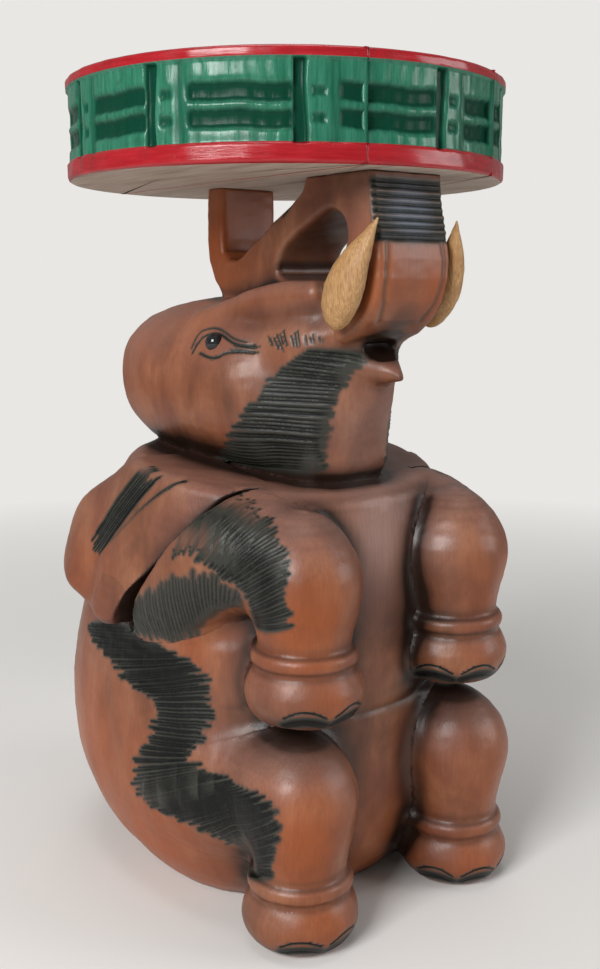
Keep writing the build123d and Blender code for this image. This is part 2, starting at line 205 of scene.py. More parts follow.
class Form:
    """A carved volume, told by its distance: negative inside and positive outside."""

    FAR = 24.0

    def spread(self) -> tuple[Array, Array]:
        """Return middles and half sizes of boxes that hold the volume between them."""
        raise NotImplementedError

    def exact(self, points: Array) -> Array:
        """Return the distance at points near the volume."""
        raise NotImplementedError

    @cached_property
    def box(self) -> tuple[Array, Array]:
        """Lowest and highest corner of the volume."""
        middles, reaches = self.spread()
        return (middles - reaches).min(axis=0), (middles + reaches).max(axis=0)

    def distance(self, points: Array) -> Array:
        """Return exact distances near the volume and the distance to its box elsewhere.

        Args:
            points: where to measure.

        Returns:
            One distance for each point.
        """
        low, high = self.box
        outside = np.maximum(np.maximum(low - points, points - high), 0.0)
        result = np.sqrt((outside**2).sum(axis=1))
        near = result < self.FAR
        if near.any():
            result[near] = self.exact(points[near])
        return result


@dataclass
class Tube(Form):
    """A round bar: the distance to a curve less a radius that changes along it.

    Each station is x, y, z and radius. thin divides the bar's thickness across X.
    """

    stations: Stations
    spans: int = 4
    thin: float = 1.0

    @cached_property
    def nodes(self) -> Array:
        """Points along the curve with their radii."""
        return curve_through(self.stations, self.spans)

    def spread(self) -> tuple[Array, Array]:
        """Return every point with its radius."""
        return self.nodes[:, :3], self.nodes[:, 3:]

    def exact(self, points: Array) -> Array:
        """Return the least over the segments of |p - nearest place| - radius there.

        Args:
            points: where to measure.

        Returns:
            One distance for each point.
        """
        scale = np.array([self.thin, 1.0, 1.0])
        best, scaled = np.full(len(points), np.inf), points * scale
        for start, end in zip(self.nodes[:-1], self.nodes[1:]):
            share, away = beside(scaled, start[:3] * scale, end[:3] * scale)
            radius = start[3] + (end[3] - start[3]) * share
            best = np.minimum(best, np.sqrt((away**2).sum(axis=1)) - radius)
        return best


@dataclass
class Ellipsoid(Form):
    """|x/a|^n + |y/b|^n + |z/c|^n = 1, turned by pitch degrees about X."""

    centre: Place
    radii: Place
    squareness: float = 2.0
    pitch: float = 0.0

    def spread(self) -> tuple[Array, Array]:
        """Return the centre, with radii that hold the ellipsoid however it is pitched."""
        reach = [max(self.radii)] * 3 if self.pitch else self.radii
        return np.array([self.centre], dtype=float), np.array([reach], dtype=float)

    def exact(self, points: Array) -> Array:
        """Return the oval distance in the ellipsoid's own turned frame.

        Args:
            points: where to measure.

        Returns:
            One distance for each point.
        """
        angle, radii = np.radians(self.pitch), np.array(self.radii)
        cosine, sine = np.cos(angle), np.sin(angle)
        turn = np.array([[1, 0, 0], [0, cosine, -sine], [0, sine, cosine]])
        scaled = np.abs((points - self.centre) @ turn / radii) + TINY
        return oval_distance(scaled, radii, self.squareness)


@dataclass
class Stack(Form):
    """Ovals |u/a|^n + |v/b|^n = 1 stacked along one axis.

    Each row is the place along the axis, half width in X, and the middle and half size in
    the third direction.
    """

    rows: Stations
    axis: int
    squareness: float

    SPANS = 8
    DEEPEST = 150.0

    @cached_property
    def curve(self) -> Array:
        """The rows carried through by a smooth curve, in order along the axis."""
        points = curve_through(self.rows, self.SPANS)
        return points[np.argsort(points[:, 0])]

    def spread(self) -> tuple[Array, Array]:
        """Return every oval's middle and half sizes.

        Returns:
            Middles and half sizes, one row each.
        """
        middles, reaches = np.zeros((2, len(self.curve), 3))
        third = 3 - self.axis
        middles[:, self.axis], reaches[:, 0] = self.curve[:, :2].T
        middles[:, third], reaches[:, third] = self.curve[:, 2:].T
        return middles, reaches

    def exact(self, points: Array) -> Array:
        """Return the oval distance at each point's height, capped by the ends.

        Args:
            points: where to measure.

        Returns:
            One distance for each point.
        """
        along, place = points[:, self.axis], self.curve[:, 0]
        half_width, middle, half = (np.interp(along, place, row) for row in self.curve.T[1:])
        radii = np.column_stack([half_width, half])
        offset = np.column_stack([points[:, 0], points[:, 3 - self.axis] - middle])
        side = oval_distance(np.abs(offset) / radii + TINY, radii, self.squareness)
        ends = np.maximum(place[0] - along, along - place[-1])
        return np.maximum(np.minimum(side, self.DEEPEST), ends)


@dataclass
class Turned(Form):
    """A turned shape round an upright axis: (r - R(z)) / sqrt(1 + R'(z)^2)."""

    x: float
    y: float
    profile: Stations

    SPANS = 5
    STEEPEST = 2.0

    @cached_property
    def curve(self) -> Array:
        """The profile's heights and radii, carried through by a smooth curve."""
        points = curve_through(self.profile, self.SPANS)
        return points[np.argsort(points[:, 0])]

    def spread(self) -> tuple[Array, Array]:
        """Return every height on the axis, with the widest radius.

        Returns:
            Middles and half sizes, one row each.
        """
        height, widest = self.curve[:, 0], self.curve[:, 1].max()
        axis = np.tile([self.x, self.y], (len(height), 1))
        return np.column_stack([axis, height]), np.array([widest, widest, 0.0])

    def exact(self, points: Array) -> Array:
        """Return the distance to the profile at each point's height, capped by the ends.

        Args:
            points: where to measure.

        Returns:
            One distance for each point.
        """
        height, radius = self.curve.T
        apart = height + np.arange(len(height)) * 1e-6
        place = np.hypot(points[:, 0] - self.x, points[:, 1] - self.y)
        level = np.interp(points[:, 2], height, radius)
        lean = np.interp(points[:, 2], height, np.gradient(radius, apart))
        side = (place - level) / np.hypot(1.0, np.clip(lean, -self.STEEPEST, self.STEEPEST))
        ends = np.maximum(height[0] - points[:, 2], points[:, 2] - height[-1])
        return np.maximum(side, ends)


@dataclass
class Ring(Form):
    """A bead round an upright axis: hypot(r - R, z / share) - bead."""

    x: float
    y: float
    z: float
    radius: float
    bead: float
    height_share: float = 1.18

    def spread(self) -> tuple[Array, Array]:
        """Return the ring's middle and the bead's outside."""
        reach = [self.radius + self.bead] * 2 + [self.bead * self.height_share]
        return np.array([[self.x, self.y, self.z]]), np.array([reach])

    def exact(self, points: Array) -> Array:
        """Return the distance to a circle less the bead's radius.

        Args:
            points: where to measure.

        Returns:
            One distance for each point.
        """
        place = np.hypot(points[:, 0] - self.x, points[:, 1] - self.y)
        rise = (points[:, 2] - self.z) / self.height_share
        return np.hypot(place - self.radius, rise) - self.bead


@dataclass
class Slab(Form):
    """A flat board sawn to a side outline, with a hole and rounded arrises.

    Each width is y and half the width there. d = max(outline, -hole) and |x| - half width
    are joined by a quarter round of the edge radius.
    """

    outline: Stations
    hole: Stations
    widths: Stations
    edge_radius: float
    top: float

    @cached_property
    def loops(self) -> tuple[Array, Array]:
        """The outline's corners, and the hole's as a smooth loop."""
        return np.asarray(self.outline, dtype=float), curve_through(self.hole, 4, closed=True)

    def spread(self) -> tuple[Array, Array]:
        """Return the outline's corners below the top, with the greatest half width.

        Returns:
            Middles and half sizes, one row each.
        """
        y, z = self.loops[0].T
        middles = np.column_stack([np.zeros(len(y)), y, np.minimum(z, self.top)])
        return middles, np.array([max(half for _, half in self.widths), 0.0, 0.0])

    def exact(self, points: Array) -> Array:
        """Return the rounded distance, cut level at the top.

        Args:
            points: where to measure.

        Returns:
            One distance for each point.
        """
        across, up = points[:, 1], points[:, 2]
        whole, hole = (outline_distance(loop, across, up) for loop in self.loops)
        places, halves = np.asarray(self.widths, dtype=float).T
        side = np.abs(points[:, 0]) - np.interp(across, places, halves)
        first, second = np.maximum(whole, -hole) + self.edge_radius, side + self.edge_radius
        corner = np.hypot(np.maximum(first, 0.0), np.maximum(second, 0.0))
        rounded = np.minimum(np.maximum(first, second), 0.0) + corner - self.edge_radius
        return np.maximum(rounded, up - self.top)


@dataclass
class Blend(Form):
    """Several forms run together, each with its own blend reach."""

    parts: Sequence[tuple[Form, float]]

    @cached_property
    def box(self) -> tuple[Array, Array]:
        """The corners round every part."""
        lows, highs = zip(*(part.box for part, _ in self.parts))
        return np.min(lows, axis=0), np.max(highs, axis=0)

    def exact(self, points: Array) -> Array:
        """Return the parts' distances joined one after another by smooth_min.

        Args:
            points: where to measure.

        Returns:
            One distance for each point.
        """
        result = self.parts[0][0].distance(points)
        for part, reach in self.parts[1:]:
            result = smooth_min(result, part.distance(points), reach)
        return result


# ---- the elephant's volumes ---------------------------------------------------------------


@dataclass
class LegForm:
    """A left leg: foot, ankle bead, shin and knee turned round one axis, and the bar above.

    Rows of the foot and shin are a height above the sole and a radius.
    """

    x: float
    y: float
    sole: float
    shin: Stations
    upper: Stations
    join: float
    foot: Stations = (
        (0, 20), (1, 26), (5, 31.5), (12, 35.5), (20, 36.5), (28, 34), (34, 30.5), (37, 28.5),
        (42, 28.2),
    )
    ankle_height: float = 40.0
    ankle_radius: float = 28.2
    ankle_bead: float = 4.8
    ankle_join: float = 2.5

    def form(self) -> Form:
        """Return the whole leg as one volume.

        Returns:
            The blended forms.
        """
        profile = [(self.sole + height, radius) for height, radius in (*self.foot, *self.shin)]
        ankle = Ring(
            self.x, self.y, self.sole + self.ankle_height, self.ankle_radius, self.ankle_bead
        )
        below = Blend([(Turned(self.x, self.y, profile), 0.0), (ankle, self.ankle_join)])
        return Blend([(below, 0.0), (Tube(self.upper), self.join)])


@dataclass
class Figure:
    """Every carved volume of the elephant, and the skin that they share where they meet.

    Rows of the torso are a height, front, back and half width, and rows of the skull are a
    place along Y, half width, bottom and top, all as shares of the sizes here.
    """

    torso_height: float = 298.0
    torso_front: float = 97.0
    torso_back: float = 174.0
    torso_half_width: float = 124.0
    head_bottom: float = 276.0
    head_height: float = 116.0
    head_half_width: float = 73.0
    head_back: float = 142.0
    head_front: float = 112.0
    ear_edge: float = 3.0
    ear_thickness: float = 12.0
    ear_flare: float = 10.0
    ear_inside: float = 50.0
    fold_step: float = 4.0
    fold_half: float = 0.8
    groove_depth: float = 7.0
    tusk_room: float = 1.2
    overlap: float = 3.2
    dive: float = 0.32

    TORSO_ROWS = (
        (0, 0.69, 0.63, 0.70), (0.04, 0.81, 0.70, 0.79), (0.11, 0.91, 0.82, 0.90),
        (0.22, 0.98, 0.95, 0.98), (0.36, 1, 1, 1), (0.50, 1, 0.98, 0.97), (0.65, 1, 0.92, 0.90),
        (0.80, 1, 0.83, 0.84), (0.92, 0.96, 0.71, 0.77), (0.97, 0.87, 0.62, 0.69),
        (1.0, 0.70, 0.50, 0.54),
    )
    SKULL_ROWS = (
        (1, 0.2, 0.44, 0.60), (0.985, 0.42, 0.32, 0.72), (0.94, 0.64, 0.18, 0.84),
        (0.83, 0.80, 0.10, 0.90), (0.63, 0.93, 0.02, 0.95), (0.37, 0.99, -0.02, 0.98),
        (0.10, 0.98, -0.04, 0.97), (-0.18, 0.90, -0.04, 0.93), (-0.38, 0.70, -0.03, 0.90),
        (-0.55, 0.52, 0.03, 0.86), (-0.68, 0.38, 0.18, 0.82), (-0.78, 0.25, 0.36, 0.78),
        (-0.85, 0.10, 0.50, 0.70),
    )
    # The rump's and chest's top slopes down forwards: level at y, y and slope.
    COLLAR = (273.0, -75.0, 0.09)
    # Cheeks, the upper jaw below the trunk and the square chin.
    MUZZLE = Blend([
        (Ellipsoid((0, -42, 358), (46, 46, 34)), 0.0),
        (Ellipsoid((0, -66, 367), (31, 31, 17)), 12.0),
        (Ellipsoid((0, -41, 299), (38.5, 36, 35), squareness=2.8), 12.0),
    ])
    # The pointed lower lip, whose top is sloped off behind the corner's y and z.
    LIP = Stack(
        (
            (-66, 31, 348, 22), (-80, 25.5, 348, 17.5), (-92, 16.5, 347.5, 12),
            (-100, 10.5, 346, 8.5), (-106, 6, 344.5, 5.5), (-110.5, 2.8, 343, 3.2),
            (-113, 0.8, 342, 1.3),
        ),
        axis=1,
        squareness=2.2,
    )
    LIP_CORNER = (-96.5, 363.5)
    LIP_SLOPE = (0.70, 0.71)
    # The ridge that runs up from behind an eye to the foot of the trunk.
    BROW = Tube(((40, 26, 371, 9), (37, -8, 383, 10), (33, -38, 389, 10), (28, -64, 391, 9)))
    # The shallow dish that an eye bead stands in, and the hollow inside the lower lip.
    SOCKET = Ellipsoid((69, -5, 364.5), (9.5, 9.5, 9.5))
    MOUTH = Ellipsoid((0, -90, 363), (12.5, 16, 8), pitch=42.0)
    # The trunk, sawn as a loop and carved round.
    TRUNK = Slab(
        (
            (-80, 362), (-90, 363), (-100, 367), (-111, 376), (-119, 387), (-123, 400),
            (-123.5, 412), (-121, 427), (-117, 444), (-114, 468), (-54, 468), (-47, 454),
            (-36, 446.5), (-17, 437), (-4, 429), (9, 422), (18, 416.5), (26, 413.5), (34, 414),
            (39.5, 419), (41, 428), (41, 468), (60, 468), (61.5, 428), (60, 412), (53, 399),
            (42, 388), (20, 372), (-40, 362),
        ),
        (
            (-77, 440), (-63, 436), (-52, 431), (-41, 426), (-31, 419.5), (-26, 412), (-24, 404),
            (-40, 396), (-60, 395), (-73, 401), (-81, 408), (-87, 414), (-90.5, 422),
            (-91, 429), (-87, 436),
        ),
        widths=((-125, 29.5), (-60, 27), (40, 24), (60, 23)),
        edge_radius=5.0,
        top=461.0,
    )
    # A front leg, with the upper arm that sweeps back under the ear.
    ARM = LegForm(
        63, -98, 141,
        shin=(
            (55, 29.5), (67, 32.5), (77, 34.5), (87, 34.8), (97, 32.5), (107, 27), (116, 20),
            (123, 11), (126, 0.1),
        ),
        upper=(
            (63, -97, 223, 30), (66, -90, 230, 33), (72, -66, 236, 36), (79, -36, 229, 41),
            (83, -6, 204, 39), (80, 20, 186, 33),
        ),
        join=8.0,
    ).form()
    # The hollow carved away below the upper arm, behind the front foot.
    ARMPIT = Ellipsoid((102, -66, 188), (17, 20, 10), pitch=-20.0)
    # A rear leg, with the thigh that runs back into the rump.
    THIGH = LegForm(
        67, -99, 0,
        shin=(
            (46, 28.5), (57, 30), (68, 32.5), (79, 34.5), (90, 35.5), (100, 34), (111, 29.5),
            (122, 21), (130, 10), (133, 0.1),
        ),
        upper=((67, -97, 92, 32), (68, -66, 90, 38), (69, -24, 80, 50), (62, 30, 74, 52)),
        join=10.0,
    ).form()
    # The room that a tusk takes up, a leaf thinner in X.
    TUSK = Tube(
        (
            (38, -95.5, 380, 9), (39, -99.5, 385.5, 12.5), (39.5, -103.5, 392.5, 14),
            (39.5, -108, 401, 13), (38.5, -113.5, 411, 10), (36, -118, 420, 6.5),
            (33.5, -121.5, 428, 3), (31.5, -124, 434, 0.8),
        ),
        thin=1.6,
    )
    # The ear's side outline as y and z, and where to look for the ear.
    EAR_OUTLINE = (
        (-52, 272), (-19, 280), (18, 284), (38, 286), (60, 273), (98, 253), (111, 238),
        (116, 222), (113, 208), (100, 196), (72, 188), (46, 183), (30, 180), (16, 184),
        (9, 196), (-3, 209), (-23, 231), (-41, 254),
    )
    EAR_ROOM = ((30, -80, 160), (np.inf, 142, 312))
    # From which y to which the ear grows to its thickness, flares and loses its step.
    EAR_GROWS, EAR_FLARES, FOLD_FADES = (-50.0, 10.0), (50.0, 112.0), (34.0, 62.0)
    # A line that the ear's front steps up at: y, z and the way that it faces.
    EAR_FOLD = (-29.0, 286.0, 0.647, 0.762)
    # The gouged line between ear and arm: y, z and half width, and where to look for it.
    EAR_GROOVE = (
        (-62, 284, 0.6), (-46, 262, 1.5), (-31, 242, 1.9), (-12, 220, 2.4), (4, 204, 3.0),
        (13, 190, 3.6), (16, 180, 3.2),
    )
    GROOVE_ROOM = ((62, -80, 165), (np.inf, 40, 300))
    # How far the blends reach: inside a volume, then where a leg or another one joins in.
    BLENDS = {
        "collar": 9.0, "muzzle": 8.0, "brow": 12.0, "rim": 2.0, "lip": 5.0, "socket": 1.0,
        "mouth": 2.0, "ear": 6.0, "arm": 3.0, "tusk": 1.5, "groove": 1.5, "armpit": 5.0,
    }
    LEGS = (("thigh", 12.0), ("arm", 7.0))
    JOINS = (("ear", 2.0), ("head", 4.0), ("trunk", 5.0))

    @cached_property
    def body(self) -> Form:
        """The rump and chest, as ovals stacked up from the ground."""
        height, front, back, width = np.array(self.TORSO_ROWS).T
        fore, rear = front * self.torso_front, back * self.torso_back
        ovals = width * self.torso_half_width, (rear - fore) / 2, (rear + fore) / 2
        return Stack(np.column_stack([height * self.torso_height, *ovals]), 2, squareness=2.25)

    @cached_property
    def skull(self) -> Form:
        """The dome and chin, as ovals stacked from back to front."""
        place, width, low, high = np.array(self.SKULL_ROWS).T
        along = place * np.where(place > 0, self.head_back, self.head_front)
        middle = self.head_bottom + (low + high) / 2 * self.head_height
        ovals = width * self.head_half_width, middle, (high - low) / 2 * self.head_height
        return Stack(np.column_stack([along, *ovals]), 1, squareness=2.3)

    @cached_property
    def ear_loop(self) -> Array:
        """The ear's side outline as a smooth loop of y and z."""
        return curve_through(self.EAR_OUTLINE, 5, closed=True)

    def torso_distance(self, points: Array) -> Array:
        """Distance to the rump and chest, whose top slopes down forwards below the head.

        Args:
            points: where to measure.

        Returns:
            One distance for each point.
        """
        level, start, slope = self.COLLAR
        above = points[:, 2] - level - slope * (points[:, 1] - start)
        return smooth_max(self.body.distance(points), above, self.BLENDS["collar"])

    def head_distance(self, points: Array) -> Array:
        """Distance to the head: skull and muzzle run together, with the mouth cut in.

        Args:
            points: where to measure.

        Returns:
            One distance for each point.
        """
        side, (back, up) = folded(points), self.LIP_SLOPE
        reach, skull = self.BLENDS, self.skull.distance(points)
        whole = smooth_min(skull, self.MUZZLE.distance(points), reach["muzzle"])
        whole = smooth_min(whole, self.BROW.distance(side), reach["brow"])
        rim = back * (self.LIP_CORNER[0] - points[:, 1]) + up * (points[:, 2] - self.LIP_CORNER[1])
        lip = smooth_max(self.LIP.distance(points), rim, reach["rim"])
        whole = smooth_min(whole, lip, reach["lip"])
        whole = smooth_max(whole, -self.SOCKET.distance(side), reach["socket"])
        return smooth_max(whole, -self.MOUTH.distance(points), reach["mouth"])

    def ear_distance(self, side: Array) -> Array:
        """Distance to the left ear: the torso thickened inside the ear's outline.

        The thickness grows from the front edge and again, by the flare, to the back one, and
        the front is a step higher above the fold.

        Args:
            side: points with the right side laid over the left.

        Returns:
            One distance for each point.
        """
        result, near = np.full(len(side), Form.FAR), within(side, *self.EAR_ROOM)
        if near.any():
            some = side[near]
            x, y, z = some.T
            fold_y, fold_z, lean, rise = self.EAR_FOLD
            grown = self.ear_thickness - self.ear_edge
            thick = self.ear_edge + grown * smooth_step(y, *self.EAR_GROWS)
            thick = thick + self.ear_flare * smooth_step(y, *self.EAR_FLARES)
            ahead = (fold_y - y) * lean + (fold_z - z) * rise
            ahead = smooth_step(ahead, -self.fold_half, self.fold_half)
            thick = thick + self.fold_step * ahead * (1 - smooth_step(y, *self.FOLD_FADES))
            around = outline_distance(self.ear_loop, y, z)
            shape = smooth_max(self.body.distance(some) - thick, around, self.BLENDS["ear"])
            result[near] = np.maximum(shape, self.ear_inside - x)
        return result

    def arm_distance(self, side: Array) -> Array:
        """Distance to a left front leg, which stops at the ear's outline.

        Args:
            side: points with the right side laid over the left.

        Returns:
            One distance for each point.
        """
        result = self.ARM.distance(side)
        near = (result < Form.FAR) & (side[:, 1:] > self.GROOVE_ROOM[0][1:]).all(axis=1)
        around = outline_distance(self.ear_loop, *side[near, 1:].T)
        result[near] = smooth_max(result[near], -around, self.BLENDS["arm"])
        return result

    def ear_groove(self, side: Array) -> Array:
        """Half width left of the gouged line between an ear and the arm in front of it.

        Args:
            side: points with the right side laid over the left.

        Returns:
            The line's half width less the distance to it, seen square from the side.
        """
        result, near = np.full(len(side), -Form.FAR), within(side, *self.GROOVE_ROOM)
        some, best = side[near, 1:], result[near]
        nodes = curve_through(self.EAR_GROOVE, 3)
        for start, end in zip(nodes[:-1], nodes[1:]):
            share, away = beside(some, start[:2], end[:2])
            half = start[2] + (end[2] - start[2]) * share
            best = np.maximum(best, half - np.sqrt((away**2).sum(axis=1)))
        result[near] = best
        return result

    def members(self, points: Array) -> dict[str, Array]:
        """Distances to each carved volume, with paired ones laid over each other.

        Args:
            points: where to measure.

        Returns:
            Each volume's distances by its name.
        """
        side = folded(points)
        return {
            "torso": self.torso_distance(points),
            "arm": self.arm_distance(side),
            "thigh": self.THIGH.distance(side),
            "ear": self.ear_distance(side),
            "head": self.head_distance(points),
            "trunk": self.TRUNK.distance(points),
        }

    def skin(self, points: Array, parts: dict[str, Array]) -> Array:
        """Distance to the skin that all the carved pieces share.

        Each leg runs into the torso by smooth_min, and the rest join the least of the two.
        Then the tusk seats, the ear grooves and the hollows under the arms are cut.

        Args:
            points: where to measure.
            parts: the distances that members gives there.

        Returns:
            One distance for each point.
        """
        torso, side = parts["torso"], folded(points)
        skin = np.minimum(*(smooth_min(torso, parts[name], reach) for name, reach in self.LEGS))
        for name, reach in self.JOINS:
            skin = smooth_min(skin, parts[name], reach)
        skin = smooth_max(skin, self.tusk_room - self.TUSK.distance(side), self.BLENDS["tusk"])
        gouge = np.minimum(self.ear_groove(side), skin + self.groove_depth)
        skin = smooth_max(skin, gouge, self.BLENDS["groove"])
        return smooth_max(skin, -self.ARMPIT.distance(side), self.BLENDS["armpit"])

    def skin_and_wall(self, points: Array, member: str) -> Array:
        """Two distances that bound one carved piece.

        Over is the piece's own distance less the least of the others, so it is 0 along the
        crease with a neighbour. The piece runs past the crease by the overlap and dives
        below the neighbour's skin there, so that no crack shows.

        Args:
            points: where to measure.
            member: the name of the piece's volume.

        Returns:
            One row of skin and wall distance for each point.
        """
        parts = self.members(points)
        others = [value for name, value in parts.items() if name != member]
        over = parts[member] - np.min(others, axis=0)
        skin = self.skin(points, parts) + self.dive * np.maximum(over, 0.0)
        return np.column_stack([skin, over - self.overlap])


# ---- meshing ------------------------------------------------------------------------------


@dataclass
class CarvedMesh:
    """Turns a skin and a wall into a closed mesh with crisp edges where they meet.

    Values are sampled on a lattice, one vertex is set in each cell that the surface crosses,
    and each crossed lattice edge gets a quad. The vertices are then moved onto the skin, the
    wall or, along an edge, onto both.
    """

    bounds: Callable[[Array], Array]
    low: Place
    high: Place
    step: float
    vertices: Array = field(init=False, default=None)
    faces: Array = field(init=False, default=None)
    on: Array = field(init=False, default=None)

    COARSE = 4
    CLOSE = 1.6
    SNAP = 0.35
    CORNERS = np.array([[i, j, k] for i in (0, 1) for j in (0, 1) for k in (0, 1)])
    PROBES = np.array([[1, -1, -1], [-1, -1, 1], [-1, 1, -1], [1, 1, 1]], dtype=float)

    def sample(self) -> Array:
        """Sample both bounds on the lattice, finely only near the surface.

        Returns:
            An array of lattice size with skin and wall in its last axis.
        """
        low, high = np.array(self.low, dtype=float), np.array(self.high, dtype=float)
        blocks = np.ceil((high - low) / (self.step * self.COARSE)).astype(int)
        counts = blocks * self.COARSE + 1
        rough = [np.arange(0, count, self.COARSE) for count in counts]
        places = np.stack(np.meshgrid(*rough, indexing="ij"), axis=-1)
        values = self.bounds(low + self.step * places.reshape(-1, 3)).reshape(*places.shape[:3], 2)
        half = self.COARSE // 2
        nearest = [
            np.minimum((np.arange(count) + half) // self.COARSE, len(line) - 1)
            for count, line in zip(counts, rough)
        ]
        full = values[np.ix_(*nearest)]
        close = np.abs(full.max(axis=-1)) < self.CLOSE * self.step * self.COARSE
        full[close] = self.bounds(low + self.step * np.argwhere(close))
        return full

    def build(self) -> None:
        """Set one vertex in each crossed cell and one quad across each crossed edge.

        Vertices that settle close to both bounds are then drawn onto the edge between them.
        """
        full = self.sample()
        inside = full.max(axis=-1) < 0
        for axis in range(3):
            inside[(slice(None),) * axis + (0,)] = False
            inside[(slice(None),) * axis + (-1,)] = False
        total = np.zeros(np.array(inside.shape) - 1, dtype=np.int8)
        for i, j, k in self.CORNERS:
            total += inside[i:total.shape[0] + i, j:total.shape[1] + j, k:total.shape[2] + k]
        cells = np.argwhere((total > 0) & (total < 8))
        index = np.full(total.shape, -1, dtype=np.int64)
        index[tuple(cells.T)] = np.arange(len(cells))
        corners = cells[:, None, :] + self.CORNERS[None]
        values = full[corners[..., 0], corners[..., 1], corners[..., 2]]
        shape = values.max(axis=-1)
        self.vertices = self.low + self.step * self.crossings(cells, shape)
        self.on = (values.min(axis=1) < 0) & (values.max(axis=1) > 0)
        self.faces = self.quads(inside, index)
        self.settle(2)
        self.on |= np.abs(self.slopes(self.vertices)[0]) < self.SNAP * self.step
        self.settle(3)

    def crossings(self, cells: Array, shape: Array) -> Array:
        """Mean of the points where the surface crosses each cell's twelve edges.

        Args:
            cells: lattice place of each cell's low corner.
            shape: the larger bound at each cell's eight corners.

        Returns:
            One point for each cell, in lattice steps.
        """
        total, count = np.zeros((len(cells), 3)), np.zeros(len(cells))
        for first, start in enumerate(self.CORNERS):
            for second, end in enumerate(self.CORNERS):
                if (end - start).sum() != 1 or (end < start).any():
                    continue
                a, b = shape[:, first], shape[:, second]
                crossed = (a < 0) != (b < 0)
                share = np.where(crossed, a / np.where(crossed, a - b, 1.0), 0.0)
                total += crossed[:, None] * (start + share[:, None] * (end - start))
                count += crossed
        return cells + total / np.maximum(count, 1)[:, None]

    @staticmethod
    def quads(inside: Array, index: Array) -> Array:
        """Triangles across each crossed lattice edge, facing outwards.

        Args:
            inside: whether each lattice point is inside.
            index: the vertex number of each cell.

        Returns:
            Vertex numbers of the triangles, two for each quad.
        """
        faces = []
        for axis in range(3):
            ahead, behind = [slice(None)] * 3, [slice(None)] * 3
            ahead[axis], behind[axis] = slice(1, None), slice(None, -1)
            crossed = np.argwhere(inside[tuple(ahead)] != inside[tuple(behind)])
            leaving = inside[tuple(crossed.T)]
            second, third = np.eye(3, dtype=int)[[(axis + 1) % 3, (axis + 2) % 3]]
            around = [crossed - second - third, crossed - third, crossed, crossed - second]
            ring = np.stack([index[tuple(cell.T)] for cell in around], axis=1)
            ring[~leaving] = ring[~leaving][:, ::-1]
            faces += [ring[:, [0, 1, 2]], ring[:, [0, 2, 3]]]
        return np.vstack(faces)

    def slopes(self, points: Array, reach: float = 0.35) -> tuple[Array, Array]:
        """Value and gradient of both bounds from four probes at a tetrahedron's corners.

        Args:
            points: where to measure.
            reach: the probes' distance along each axis.

        Returns:
            The mean values, and the gradients with one row of x, y, z for each bound.
        """
        values = np.stack([self.bounds(points + reach * probe) for probe in self.PROBES])
        gradient = np.einsum("pnb,pc->nbc", values, self.PROBES) / (4 * reach)
        return values.mean(axis=0), gradient

    def normals(self, points: Array) -> Array:
        """Directions out of the skin."""
        slopes = self.slopes(points)[1][:, 0]
        return slopes / np.maximum(np.linalg.norm(slopes, axis=1), 1e-6)[:, None]

    def settle(self, rounds: int, only: Array | None = None) -> None:
        """Move vertices onto the bounds that they belong to, by Newton's least step.

        Args:
            rounds: how many steps to take.
            only: numbers of the vertices to move, or None for all of them.
        """
        chosen = np.arange(len(self.vertices)) if only is None else only
        for _ in range(rounds):
            value, gradient = self.slopes(self.vertices[chosen])
            on = self.on[chosen].astype(float)
            value, gradient = value * on, gradient * on[:, :, None]
            first, second = gradient[:, 0], gradient[:, 1]
            aa, bb = (first**2).sum(axis=1) + 1e-3, (second**2).sum(axis=1) + 1e-3
            ab = (first * second).sum(axis=1)
            whole = aa * bb - ab**2
            one = (bb * value[:, 0] - ab * value[:, 1]) / whole
            two = (aa * value[:, 1] - ab * value[:, 0]) / whole
            move = first * one[:, None] + second * two[:, None]
            size = np.sqrt((move**2).sum(axis=1))
            move *= np.minimum(1.0, self.step / np.maximum(size, 1e-9))[:, None]
            self.vertices[chosen] -= move

    def refine(self, target: Callable[[Array], Array], rounds: int) -> None:
        """Split edges that are longer than the target at their middle.

        A triangle with one, two or three split edges becomes two, three or four, so
        neighbours stay joined.

        Args:
            target: the longest edge allowed at each point.
            rounds: how many times to split.
        """
        for _ in range(rounds):
            faces = self.faces
            sides = np.stack([faces, np.roll(faces, -1, axis=1)], axis=2).reshape(-1, 2)
            sides = np.sort(sides, axis=1)
            code = sides[:, 0] * len(self.vertices) + sides[:, 1]
            unique, where = np.unique(code, return_inverse=True)
            ends = np.stack([unique // len(self.vertices), unique % len(self.vertices)], axis=1)
            start, end = self.vertices[ends[:, 0]], self.vertices[ends[:, 1]]
            middle = (start + end) / 2
            length = np.sqrt(((end - start) ** 2).sum(axis=1))
            skin = self.on[ends[:, 0], 0] & self.on[ends[:, 1], 0]
            long = skin & (length > target(middle))
            if not long.any():
                return
            number = np.full(len(unique), -1)
            number[long] = len(self.vertices) + np.arange(long.sum())
            added = np.arange(len(self.vertices), len(self.vertices) + long.sum())
            self.on = np.vstack([self.on, self.on[ends[long, 0]] & self.on[ends[long, 1]]])
            self.vertices = np.vstack([self.vertices, middle[long]])
            self.faces = self.split(faces, number[where].reshape(-1, 3))
            self.settle(1, added)

